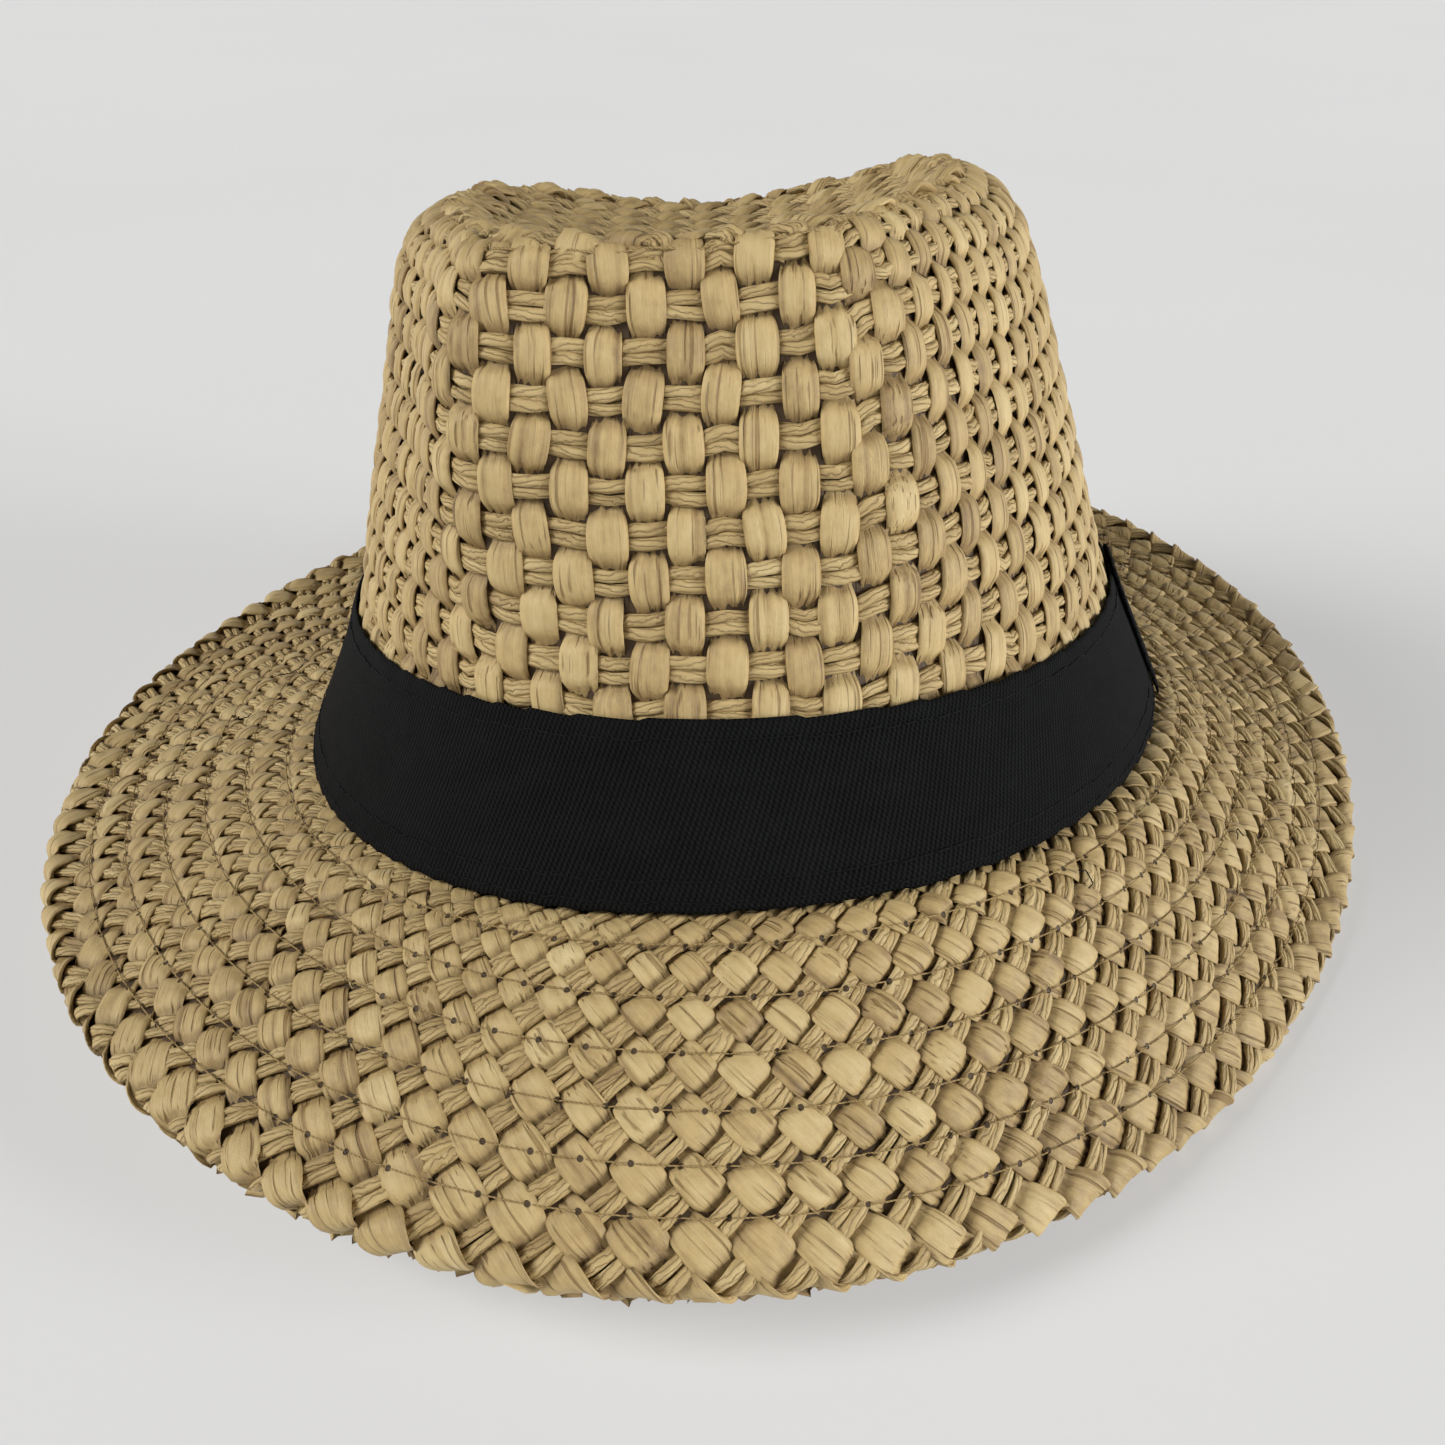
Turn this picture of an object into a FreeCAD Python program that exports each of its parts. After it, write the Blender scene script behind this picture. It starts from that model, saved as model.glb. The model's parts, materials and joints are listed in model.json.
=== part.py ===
"""Straw fedora: a stitched crown of paper-straw cloth, a snapped brim, a ribbon band and a sweatband.

Units are millimetres. The hat is drawn in its head frame: the origin is the middle of the head oval
at the bottom edge of the ribbon, -Y is the front, +X the wearer's left and +Z up. It is then set
down as it rests on a table, tilted back on its drooping front brim, with the middle of its
bounding box's bottom face at the origin.
"""
import FreeCAD, Part
import math
import os

# Head oval, measured on the outside of the ribbon at its bottom edge
OVAL_HALF_WIDTH = 86.3
OVAL_HALF_LENGTH = 105.7
OVAL_SADDLE = 2.9          # front and back stand higher than the sides
OVAL_LEAN = 2.6            # the wearer's left stands higher than the right
OVAL_TILT = 1.0            # the front stands higher than the back

# Thicknesses and gaps
STRAW = 2.2                # crown cloth
BRIM_PLY = 1.5             # each of the brim's two plies
INTERLINING = 0.6
RIBBON = 0.8
KEEPER = 0.8
SWEATBAND = 0.8
TAPE = 0.5
THREAD = 0.4
GAP = 0.1                  # air between pieces that lie on each other

# Crown wall, from the brim (0) to the rim of the tip (1)
WALL_STEPS = (0.0, 0.27, 0.55, 0.80, 0.92, 0.97, 1.0)
WALL_HALF_WIDTH = (85.2, 74.2, 68.0, 62.4, 58.6, 54.0, 45.5)
WALL_SHIFT = (0.0, 0.0, -1.2, -2.4, -3.2, -3.6, -3.8)   # the crown leans to the wearer's right
WALL_FRONT = (104.6, 94.2, 88.0, 81.5, 78.6, 77.0, 74.0)
WALL_BACK = (104.6, 94.8, 91.0, 88.5, 86.0, 83.6, 80.0)
WALL_SQUARENESS = (2.08, 2.10, 2.30, 2.50, 2.50, 2.45, 2.40)
WALL_EGG = (0.105, 0.105, 0.13, 0.17, 0.18, 0.18, 0.16)
WALL_LEVEL = 0.06          # below this step the wall's cut edge is level
PINCH_START = 0.25         # the pinch fades out above the ribbon
PINCH_RIGHT = (-62.0, 4.5) # angle from the front and depth of the dent on the wearer's right
PINCH_LEFT = (60.0, 2.5)
PINCH_SPREAD = 20.0
RIDGE_RIGHT = (-33.0, 8.0) # angle and height of the corner between the front panel and that dent
RIDGE_LEFT = (29.0, 4.5)
RIDGE_SPREAD = 12.5

# Crown tip: a dished oval with its crest nearer the front
TIP_CREST = 99.2
TIP_CREST_Y = -30.0
TIP_FRONT_DROP = 0.4
TIP_BACK_DROP = 11.6
TIP_LEAN = 2.2             # the crest stands higher on the wearer's left
TIP_FRONT = -74.0
TIP_BACK = 80.0
TIP_HALF_WIDTH = 45.5
TIP_DENT = 14.0
TIP_INSET = 1.9            # the tip's cut edge inside the wall's rim

# Brim: slant width and slope angles, in degrees above the horizon
BRIM_WIDTH = 49.3
BRIM_SLOPE = -23.3
BRIM_SLOPE_FRONT = -27.5
BRIM_SLOPE_SADDLE = 1.0
BRIM_SLOPE_LEFT = -12.2
BRIM_SLOPE_TWIST = -9.0
BRIM_CURL = 2.4
BRIM_CURL_FRONT = 9.5
BRIM_MARGIN = 3.2          # brim under the crown wall
BRIM_BREAK = 7.0           # slant distance over which the brim bends from level to its slope
BRIM_HALF = BRIM_PLY + INTERLINING / 2 + GAP
EDGE_BEAD = 1.25           # half the gap between the plies at the wire
WIRE = 1.5
FERRULE_LENGTH = 22.0
FERRULE = 2.1
STITCH_ROWS = (4.5, 12.5, 20.5, 28.5, 36.0, 43.0)

# Ribbon, keeper and sweatband
RIBBON_WIDTH = 29.1
RIBBON_SLANT = -2.4        # its upper edge sits lower on the wearer's left
RIBBON_LIFT = 0.4
RIBBON_GAP = 0.3           # between the crown wall and the ribbon
KEEPER_ANGLE = 90.0        # degrees from the front, towards the wearer's left
KEEPER_WIDTH = 14.0
KEEPER_OVERHANG = 1.2
RIBBON_ROWS = (1.2, 4.4, 25.6)
SWEATBAND_WIDTH = 34.0
SWEATBAND_DROP = -4.6      # its lower edge covers the inner edge of the brim
SWEATBAND_JOIN_WIDTH = 10.0
LABEL_WIDTH = 22.0
LABEL_HEIGHT = 16.0
LABEL_ANGLE = 158.0

# How the hat rests on a table
REST_PITCH = 7.4
REST_ROLL = 2.6

TURN = 2 * math.pi
AROUND = 72                # spans around the hat in each surface


def keyed(values, s):
    """A smooth curve through the values at WALL_STEPS."""
    steps = WALL_STEPS
    last = len(steps) - 1
    i = max((j for j in range(last) if s >= steps[j]), default=0)

    def slope(j):
        before = max(j - 1, 0)
        after = min(j + 1, last)
        return (values[after] - values[before]) / (steps[after] - steps[before])

    span = steps[i + 1] - steps[i]
    t = (s - steps[i]) / span
    rise = values[i + 1] - values[i]
    start = slope(i) * span
    end = slope(i + 1) * span
    return values[i] + t * (start + t * ((3 * rise - 2 * start - end) + t * (start + end - 2 * rise)))


def oval(phi, half_width, front, back, squareness, egg):
    """A point of an egg-shaped oval; phi runs from the front towards the wearer's left."""
    sine = math.sin(phi)
    cosine = math.cos(phi)
    reach = (abs(sine) ** squareness + abs(cosine) ** squareness) ** (-1 / squareness)
    length = front if cosine > 0 else back
    return half_width * reach * sine * (1 - egg * cosine), -length * reach * cosine


def root_height(phi):
    return OVAL_SADDLE * math.cos(2 * phi) + OVAL_LEAN * math.sin(phi) + OVAL_TILT * math.cos(phi)


def root(phi):
    """The ribbon's bottom edge, where the brim leaves the crown."""
    x, y = oval(phi, OVAL_HALF_WIDTH, OVAL_HALF_LENGTH, OVAL_HALF_LENGTH, WALL_SQUARENESS[0], WALL_EGG[0])
    return FreeCAD.Vector(x, y, root_height(phi))


def outward(phi):
    """The level direction square to the head oval."""
    step = 0.01
    along = root(phi + step) - root(phi - step)
    return FreeCAD.Vector(along.y, -along.x, 0).normalize()


def tip_height(x, y):
    """Height of the tip's upper face: a saddle-shaped crest less the centre dent."""
    ahead = y < TIP_CREST_Y
    off = (x - WALL_SHIFT[-1]) / TIP_HALF_WIDTH
    drop = TIP_FRONT_DROP if ahead else TIP_BACK_DROP
    run = (TIP_FRONT if ahead else TIP_BACK) - TIP_CREST_Y
    crest = TIP_CREST - drop * ((y - TIP_CREST_Y) / run) ** 2
    middle = (TIP_FRONT + TIP_BACK) / 2
    half_length = (TIP_BACK - TIP_FRONT) / 2
    inside = 1 - off ** 2 - ((y - middle) / half_length) ** 2
    return crest + TIP_LEAN * off - TIP_DENT * inside


def bell(phi, angle, spread):
    """1 at an angle from the front, in degrees, fading to 0 over the spread."""
    off = (math.degrees(math.atan2(math.sin(phi), math.cos(phi))) - angle) / spread
    return math.exp(-off * off)


def pinch(phi, s):
    """How far the front of the crown is dented in at its sides, less its raised corners."""
    if s < PINCH_START:
        return 0.0
    grow = math.sin(math.pi * 0.62 * (s - PINCH_START) / (1 - PINCH_START)) ** 2
    dents = sum(size * bell(phi, angle, PINCH_SPREAD) for angle, size in (PINCH_RIGHT, PINCH_LEFT))
    ridges = sum(size * bell(phi, angle, RIDGE_SPREAD) for angle, size in (RIDGE_RIGHT, RIDGE_LEFT))
    return (dents - ridges) * grow


def wall(phi, s):
    """The crown wall's outer face; below the brim it drops straight down."""
    low = root_height(phi)
    if s < 0:
        return wall(phi, 0.0) + FreeCAD.Vector(0, 0, s * (TIP_CREST - low))
    x, y = oval(phi, keyed(WALL_HALF_WIDTH, s), keyed(WALL_FRONT, s), keyed(WALL_BACK, s),
                keyed(WALL_SQUARENESS, s), keyed(WALL_EGG, s))
    x += keyed(WALL_SHIFT, s)
    rim_x, rim_y = oval(phi, WALL_HALF_WIDTH[-1], WALL_FRONT[-1], WALL_BACK[-1],
                        WALL_SQUARENESS[-1], WALL_EGG[-1])
    rim_x += WALL_SHIFT[-1]
    point = FreeCAD.Vector(x, y, low + s * (tip_height(rim_x, rim_y) - low))
    return point - outward(phi) * pinch(phi, s)


def wall_normal(phi, s):
    """The direction square to the crown wall, turned level near the brim."""
    step = 0.004
    along = wall(phi + step, s) - wall(phi - step, s)
    across = wall(phi, s + step) - wall(phi, s)
    square = along.cross(across).normalize()
    level = min(max(1 - s / WALL_LEVEL, 0.0), 1.0)
    return (outward(phi) * level + square * (1 - level)).normalize()


def wall_offset(phi, s, out):
    """A point that stands out from the crown wall's outer face."""
    return wall(phi, s) + wall_normal(phi, s) * out


def wall_step(phi, height):
    """The wall step at a slant height above the brim."""
    step = WALL_STEPS[1]
    return height * step / (wall(phi, step) - wall(phi, 0)).Length


def brim_slope(phi):
    return (BRIM_SLOPE + BRIM_SLOPE_FRONT * math.cos(phi) + BRIM_SLOPE_SADDLE * math.cos(2 * phi)
            + BRIM_SLOPE_LEFT * math.sin(phi) + BRIM_SLOPE_TWIST * math.sin(2 * phi))


def brim_angle(phi, reach):
    """The brim's angle above the horizon: level under the crown, then bending to its slope."""
    curl = BRIM_CURL + BRIM_CURL_FRONT * math.cos(phi)
    bend = min(max((reach + BRIM_MARGIN) / (BRIM_MARGIN + BRIM_BREAK), 0.0), 1.0)
    bend = bend * bend * (3 - 2 * bend)
    return math.radians(bend * (brim_slope(phi) + curl * (1 - 2 * reach / BRIM_WIDTH)))


def brim_middle(phi, reach):
    """The brim's middle surface at a slant distance from the root, with its normal and slope."""
    pieces = 2 + int(abs(reach) / 2.5)
    step = reach / pieces
    angles = [brim_angle(phi, step * (i + 0.5)) for i in range(pieces)]
    across = step * sum(math.cos(angle) for angle in angles)
    rise = step * sum(math.sin(angle) for angle in angles)
    out = outward(phi)
    up = FreeCAD.Vector(0, 0, 1)
    point = root(phi) + out * across + up * (rise - BRIM_HALF - 3 * GAP)
    angle = brim_angle(phi, reach)
    return point, up * math.cos(angle) - out * math.sin(angle), out * math.cos(angle) + up * math.sin(angle)


def brim_offset(phi, reach, out):
    point, normal, _ = brim_middle(phi, reach)
    return point + normal * out


def surface_through(point_at, around, across, full):
    rows = [[point_at(u, v) for u in around] for v in across]
    if full:
        for row in rows:
            row[-1] = row[0]
    surface = Part.BSplineSurface()
    surface.interpolate(rows)
    return surface


def sheet(outer, inner, around=AROUND, across=20, start=-math.pi, end=math.pi, low=0.0, high=1.0):
    """A solid between two surfaces; a full turn closes on itself at the back."""
    full = abs(end - start - TURN) < 1e-6
    angles = [start + (end - start) * i / around for i in range(around + 1)]
    steps = [low + (high - low) * j / across for j in range(across + 1)]
    skins = [surface_through(point_at, angles, steps, full) for point_at in (outer, inner)]
    faces = [skin.toShape() for skin in skins]
    for k in (0, 1):
        edges = [skin.uIso(skin.bounds()[k]).toShape() for skin in skins]
        faces.append(Part.makeRuledSurface(*edges))
    if not full:
        for k in (2, 3):
            edges = [skin.vIso(skin.bounds()[k]).toShape() for skin in skins]
            faces.append(Part.makeRuledSurface(*edges))
    shell = Part.Compound(faces)
    shell.sewShape()
    solid = Part.makeSolid(shell.Shells[0])
    if solid.Volume < 0:
        solid.reverse()
    return solid


def on_wall(low, high, inner, outer, slant=0.0, across=12, **span):
    """A layer on the crown wall, between two slant heights and two distances from its face."""
    def face(out):
        def point_at(phi, v):
            top = high + slant * math.sin(phi)
            return wall_offset(phi, wall_step(phi, low + (top - low) * v), out)
        return point_at
    return sheet(face(outer), face(inner), across=across, **span)


def on_brim(low, high, bottom, top, **span):
    """A layer on the brim, between two slant distances and two heights from its middle."""
    def face(out):
        return lambda phi, v: brim_offset(phi, low + (high - low) * v, out)
    return sheet(face(top), face(bottom), **span)


def near(angle, width):
    """The start and end of a strip of the given width, centred on an angle."""
    middle = math.radians(angle)
    half = width / 2 / FreeCAD.Vector(*root(middle)[:2], 0).Length
    return {"start": middle - half, "end": middle + half, "around": 6}


def crown_side():
    return sheet(wall, lambda phi, s: wall_offset(phi, s, -STRAW))


def crown_tip():
    """The dished top, cut to the rim's outline less its seam."""
    columns = 14
    rows = 20
    reach_x = TIP_HALF_WIDTH + 6
    low_y = TIP_FRONT - 6
    high_y = TIP_BACK + 6
    xs = [WALL_SHIFT[-1] + reach_x * (2 * i / columns - 1) for i in range(columns + 1)]
    ys = [low_y + (high_y - low_y) * j / rows for j in range(rows + 1)]
    surface = Part.BSplineSurface()
    surface.interpolate([[FreeCAD.Vector(x, y, tip_height(x, y)) for x in xs] for y in ys])
    slab = surface.toShape().extrude(FreeCAD.Vector(0, 0, -STRAW))
    rim = [wall(TURN * i / AROUND, 1.0) - outward(TURN * i / AROUND) * TIP_INSET for i in range(AROUND)]
    curve = Part.BSplineCurve()
    curve.interpolate([FreeCAD.Vector(point.x, point.y, 0) for point in rim], PeriodicFlag=True)
    outline = Part.Face(Part.Wire([curve.toShape()]))
    return slab.common(outline.extrude(FreeCAD.Vector(0, 0, 2 * TIP_CREST))).Solids[0]


def crown_tip_thread():
    def face(out):
        return lambda phi, v: wall_offset(phi, 0.985 + 0.012 * v, out)
    return sheet(face(GAP + THREAD), face(GAP), across=2)


def crown_tip_tape():
    """Binding over the tip's seam allowance, inside the crown."""
    def face(out):
        return lambda phi, v: wall_offset(phi, 0.88 + 0.06 * v, out)
    return sheet(face(-STRAW - GAP), face(-STRAW - GAP - TAPE), across=4)


def crown_back_thread():
    """The seam that closes the crown wall into a ring, up the middle of the back."""
    def face(out):
        return lambda phi, s: wall_offset(phi, s, out)
    return sheet(face(GAP + THREAD), face(GAP), low=0.30, high=0.97, **near(180, 1.0))


def brim_straw():
    """Both plies as one folded strip: over the top, around the wire and back underneath."""
    inside = INTERLINING / 2 + GAP
    bead = EDGE_BEAD - inside
    fold = 0.08
    flat = (1 - fold) / 2

    def face(out):
        def point_at(phi, v):
            if flat < v < 1 - flat:
                turn = math.pi * (v - flat) / fold
                point, normal, slope = brim_middle(phi, BRIM_WIDTH)
                return point + (normal * math.cos(turn) + slope * math.sin(turn)) * (out + bead)
            side = 1 if v < 0.5 else -1
            t = min(v, 1 - v) / flat
            reach = (BRIM_WIDTH + BRIM_MARGIN) * t - BRIM_MARGIN
            return brim_offset(phi, reach, side * (out + bead * t ** 24))
        return point_at
    return sheet(face(inside + BRIM_PLY), face(inside), across=50)


def brim_interlining():
    half = INTERLINING / 2
    return on_brim(GAP - BRIM_MARGIN, BRIM_WIDTH - FERRULE - GAP, -half, half)


def brim_wire():
    """The sprung wire ring in the fold of the brim's edge."""
    reach = BRIM_WIDTH - WIRE / 2 + GAP

    def point_at(phi, v):
        turn = TURN * v
        point, normal, slope = brim_middle(phi, reach)
        return point + (normal * math.cos(turn) + slope * math.sin(turn)) * (WIRE / 2)

    angles = [TURN * i / AROUND - math.pi for i in range(AROUND + 1)]
    steps = [j / 12 for j in range(12)] + [0.0]
    skin = surface_through(point_at, angles, steps, True)
    return Part.makeSolid(Part.Shell([skin.toShape()]))


def brim_stitching():
    """One ring of thread above and one below for every row."""
    rings = []
    for row in STITCH_ROWS:
        for side in (1, -1):
            levels = sorted((side * (BRIM_HALF + GAP), side * (BRIM_HALF + GAP + THREAD)))
            rings.append(on_brim(row, row + 2 * THREAD, *levels, across=2))
    return Part.Compound(rings)


def crown_brim_thread():
    """The seam that joins the crown to the brim, seen underneath beside the sweatband."""
    inner = 1.4 - BRIM_MARGIN
    return on_brim(inner, inner + 2 * THREAD, -BRIM_HALF - GAP - THREAD, -BRIM_HALF - GAP, across=2)


def hat_band():
    """The ribbon, with its two ends meeting under the keeper."""
    meet = math.radians(KEEPER_ANGLE)
    low = RIBBON_LIFT
    return on_wall(low, low + RIBBON_WIDTH, RIBBON_GAP, RIBBON_GAP + RIBBON, RIBBON_SLANT,
                   start=meet + 0.004, end=meet + TURN - 0.004)


def band_keeper():
    inner = RIBBON_GAP + RIBBON + GAP
    low = RIBBON_LIFT - KEEPER_OVERHANG / 4
    high = RIBBON_LIFT + RIBBON_WIDTH + KEEPER_OVERHANG
    return on_wall(low, high, inner, inner + KEEPER, RIBBON_SLANT, **near(KEEPER_ANGLE, KEEPER_WIDTH))


def band_stitching():
    """Rings of thread on the ribbon's face, broken where they pass under the keeper."""
    meet = math.radians(KEEPER_ANGLE)
    clear = math.radians(6)
    inner = RIBBON_GAP + RIBBON + GAP
    rings = []
    for row in RIBBON_ROWS:
        slant = RIBBON_SLANT * row / RIBBON_WIDTH

        def face(out):
            def point_at(phi, v):
                height = row + slant * math.sin(phi) + 2 * THREAD * v
                return wall_offset(phi, wall_step(phi, height), out)
            return point_at
        rings.append(sheet(face(inner + THREAD), face(inner), across=2,
                           start=meet + clear, end=meet + TURN - clear))
    return Part.Compound(rings)


def sweatband():
    outer = -STRAW - GAP
    return on_wall(SWEATBAND_DROP, SWEATBAND_DROP + SWEATBAND_WIDTH, outer - SWEATBAND, outer)


def on_sweatband(low, high, thickness, **span):
    outer = -STRAW - SWEATBAND - 5 * GAP
    return on_wall(SWEATBAND_DROP + low, SWEATBAND_DROP + high, outer - thickness, outer, **span)


def sweatband_stitching():
    rows = (1.2, SWEATBAND_WIDTH - 2.0)
    return Part.Compound([on_sweatband(row, row + 2 * THREAD, THREAD, across=2) for row in rows])


def sweatband_join():
    """The strip over the sweatband's ends at the back."""
    return on_sweatband(2.6, SWEATBAND_WIDTH - 2.6, TAPE, **near(180, SWEATBAND_JOIN_WIDTH))


def size_label():
    return on_sweatband(5, 5 + LABEL_HEIGHT, TAPE / 2, **near(LABEL_ANGLE, LABEL_WIDTH))


def brim_wire_ferrule():
    """The crimped sleeve that joins the wire's ends at the back."""
    half = FERRULE_LENGTH / 2 / (OVAL_HALF_WIDTH + BRIM_WIDTH)
    reach = BRIM_WIDTH - WIRE / 2 + GAP
    points = [brim_offset(math.pi + half * k, reach, 0) for k in (-1, 0, 1)]
    spine = Part.Wire([Part.Arc(*points).toShape()])
    start = spine.Edges[0].tangentAt(spine.Edges[0].FirstParameter)
    radii = (FERRULE / 2, WIRE / 2 + GAP / 2)
    circles = [Part.Wire([Part.makeCircle(radius, points[0], start)]) for radius in radii]
    sleeve, hole = [spine.makePipeShell([circle], True, True) for circle in circles]
    return sleeve.cut(hole)


PIECES = {
    "crown_side": crown_side,
    "crown_tip": crown_tip,
    "crown_tip_thread": crown_tip_thread,
    "crown_tip_tape": crown_tip_tape,
    "crown_back_thread": crown_back_thread,
    "crown_brim_thread": crown_brim_thread,
    "brim_straw": brim_straw,
    "brim_interlining": brim_interlining,
    "brim_wire": brim_wire,
    "brim_wire_ferrule": brim_wire_ferrule,
    "brim_stitching": brim_stitching,
    "hat_band": hat_band,
    "band_keeper": band_keeper,
    "band_stitching": band_stitching,
    "sweatband": sweatband,
    "sweatband_stitching": sweatband_stitching,
    "sweatband_join": sweatband_join,
    "size_label": size_label,
}


def set_down(shapes):
    """Tilt the hat as it rests on a table and put the box's bottom centre at the origin."""
    pitch = FreeCAD.Rotation(FreeCAD.Vector(1, 0, 0), -REST_PITCH)
    roll = FreeCAD.Rotation(FreeCAD.Vector(0, 1, 0), -REST_ROLL)
    tilt = FreeCAD.Placement(FreeCAD.Vector(), roll.multiply(pitch))
    whole = Part.Compound(shapes)
    whole.Placement = tilt
    box = whole.optimalBoundingBox(False, False)
    shift = FreeCAD.Vector(-box.Center.x, -box.Center.y, -box.ZMin)
    return FreeCAD.Placement(shift, tilt.Rotation)


def main():
    os.makedirs("parts", exist_ok=True)
    shapes = {name: make() for name, make in PIECES.items()}
    rest = set_down(list(shapes.values()))
    for name, shape in shapes.items():
        shape.Placement = rest
        shape.exportStep("parts/" + name + ".step")
    print("head opening at", rest.Base, "facing", rest.Rotation.multVec(FreeCAD.Vector(0, 0, -1)))


main()
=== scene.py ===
"""The woven straw, ribbon and sewing of a straw fedora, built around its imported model.

Shapes are worked out in millimetres in the hat's head frame: the origin is the middle of the head oval,
-Y the front, +X the wearer's left and +Z up. They are put into the row frame, in metres, as each mesh
is made. Straw is laid as separate strands: wide ones ("warps") under and over pairs of narrow ones
("wefts"), on grids of points sampled from the CAD surfaces.
"""

import json
import math

import bpy
import numpy as np
from mathutils import Matrix, Vector
from mathutils.bvhtree import BVHTree


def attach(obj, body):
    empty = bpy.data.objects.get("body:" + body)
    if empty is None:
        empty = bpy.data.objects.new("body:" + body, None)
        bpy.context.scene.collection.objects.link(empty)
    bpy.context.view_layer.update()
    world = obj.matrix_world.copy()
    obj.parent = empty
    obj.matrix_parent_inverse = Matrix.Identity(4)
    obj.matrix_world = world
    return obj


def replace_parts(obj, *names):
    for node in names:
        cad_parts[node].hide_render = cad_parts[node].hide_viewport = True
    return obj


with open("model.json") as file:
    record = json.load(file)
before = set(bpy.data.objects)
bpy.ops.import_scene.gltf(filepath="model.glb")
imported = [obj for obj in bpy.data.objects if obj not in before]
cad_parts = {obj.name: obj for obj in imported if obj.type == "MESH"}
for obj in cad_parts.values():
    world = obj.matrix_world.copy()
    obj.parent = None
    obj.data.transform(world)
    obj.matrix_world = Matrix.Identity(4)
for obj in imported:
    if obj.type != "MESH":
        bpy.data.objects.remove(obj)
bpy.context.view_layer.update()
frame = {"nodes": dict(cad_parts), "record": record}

MM = 0.001
TURN = 2 * math.pi
UP = np.array([0.0, 0.0, 1.0])
DOWN = (0, 0, -1)
RANDOM = np.random.default_rng(11)

# Weave of the crown wall: counts and sizes in millimetres
WALL_FOOT = 15.0            # height above the brim where its visible strands start, under the ribbon
WALL_WARPS = 102
WALL_ROWS = 13
FRONT_FROM = -38.0          # the flat front panel, along the wall's foot from the middle of the front
FRONT_TO = 28.0
FRONT_EDGE = 5.0            # its corners fade over this
FRONT_PITCH = (1.09, 1.02)  # its strand pitch at foot and rim, over the mean pitch at the foot
STRAW = 2.2                 # thickness of the cloth that the strands share
PRESSED_TO = 31.0           # slant height up to which the ribbon presses the cloth flat
CROWN_RELIEF = (0.74, 0.44) # how far wide and narrow strands rise and fall
CLEAR_OF_HAT = 220.0        # a start outside the hat for rays

# Weave of the tip and the brim
TIP_BIAS = math.radians(38)
TIP_OVERLAP = 5.0           # how far its strands run over the rim
WARP_PITCH = 5.65
WEFT_PITCH = 6.7
TIP_RELIEF = (0.70, 0.45)
ABOVE_TIP = 200.0
BRIM_RELIEF = (0.66, 0.36)
BRIM_PLY = 1.5
BRIM_WARPS = 108
BRIM_WEFTS = 92
BRIM_MARGIN = 3.2           # brim under the crown wall
BRIM_ROOT_GIRTH = 605.0     # around the brim's inner end
BRIM_FLARE = 0.88           # how much of a step outwards widens the brim's circle
STITCH_ROWS = (4.5, 12.5, 20.5, 28.5, 36.0, 43.0)
STITCH = 6.4
NEEDLE_HOLE = 0.50          # radius of a needle hole's dent and of its painted shade

# Ribbon
RIBBON_WIDTH = 29.1
RIBBON_ROWS = (1.2, 4.4, 25.6)
KEEPER_CLEAR = math.radians(5.5)    # the stitched rows stop this far from where the ribbon's ends meet
FIBRES = ((-101, 12, 8.0, 40), (-88, 17, 4.0, 100), (37, 7, 4.5, 70), (66, 22, 4.0, 20))


# ---------------------------------------------------------------- frames and surfaces

def lengths(vectors):
    return np.linalg.norm(vectors, axis=-1)


def unit(vectors):
    return vectors / np.maximum(np.linalg.norm(vectors, axis=-1, keepdims=True), 1e-9)


def head_frame():
    """The head frame's axes, as columns, and its origin in the row frame."""
    mount = next(m for m in frame["record"]["mounts"] if m["name"] == "head_opening")
    up = -np.array(mount["axis"], float)
    up = unit(up)
    side = unit(np.array([up[2], 0.0, -up[0]]))
    return np.column_stack([side, np.cross(up, side), up]), np.array(mount["pos_m"], float)


AXES, ORIGIN = head_frame()


def to_row(points):
    return ORIGIN + (np.asarray(points) @ AXES.T) * MM


def to_head(points):
    return ((np.asarray(points) - ORIGIN) @ AXES) / MM


def heading(turn, rise=0.0):
    """The direction at a turn from the front, towards the wearer's left, and at a rise above level."""
    return np.array([math.sin(turn) * math.cos(rise), -math.cos(turn) * math.cos(rise), math.sin(rise)])


def points_of(node):
    """A CAD node's points in the head frame."""
    return to_head([v.co for v in frame["nodes"][node].data.vertices])


def tree_of(node):
    """A CAD node's surface in the head frame, for casting rays."""
    polygons = frame["nodes"][node].data.polygons
    return BVHTree.FromPolygons(points_of(node).tolist(), [tuple(p.vertices) for p in polygons])


def cast(tree, origin, direction, reach=400.0):
    """The first point and normal that a ray meets, or (None, None)."""
    hit, normal, _, _ = tree.ray_cast(Vector(origin), Vector(direction), reach)
    return (None, None) if hit is None else (np.array(hit), np.array(normal))


def run_along(points):
    """The distance along a line at each of its points."""
    return np.concatenate([[0], np.cumsum(lengths(np.diff(points, axis=0)))])


def read_line(places, ticks, points):
    """The points of a line at places between its ticks."""
    return np.column_stack([np.interp(places, ticks, column) for column in np.asarray(points).T])


def spaced(points, count):
    """The same line as count points, evenly spaced."""
    run = run_along(points)
    return read_line(np.linspace(0, run[-1], count), run, points)


def central(points, axis=0):
    """Steps between the neighbours of each point on closed lines."""
    return np.roll(points, -1, axis) - np.roll(points, 1, axis)


def last_place(holds, near, far, halvings):
    """How far from near, towards far, holds stays true."""
    for _ in range(halvings):
        middle = (near + far) / 2
        near, far = (middle, far) if holds(middle) else (near, middle)
    return near


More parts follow.
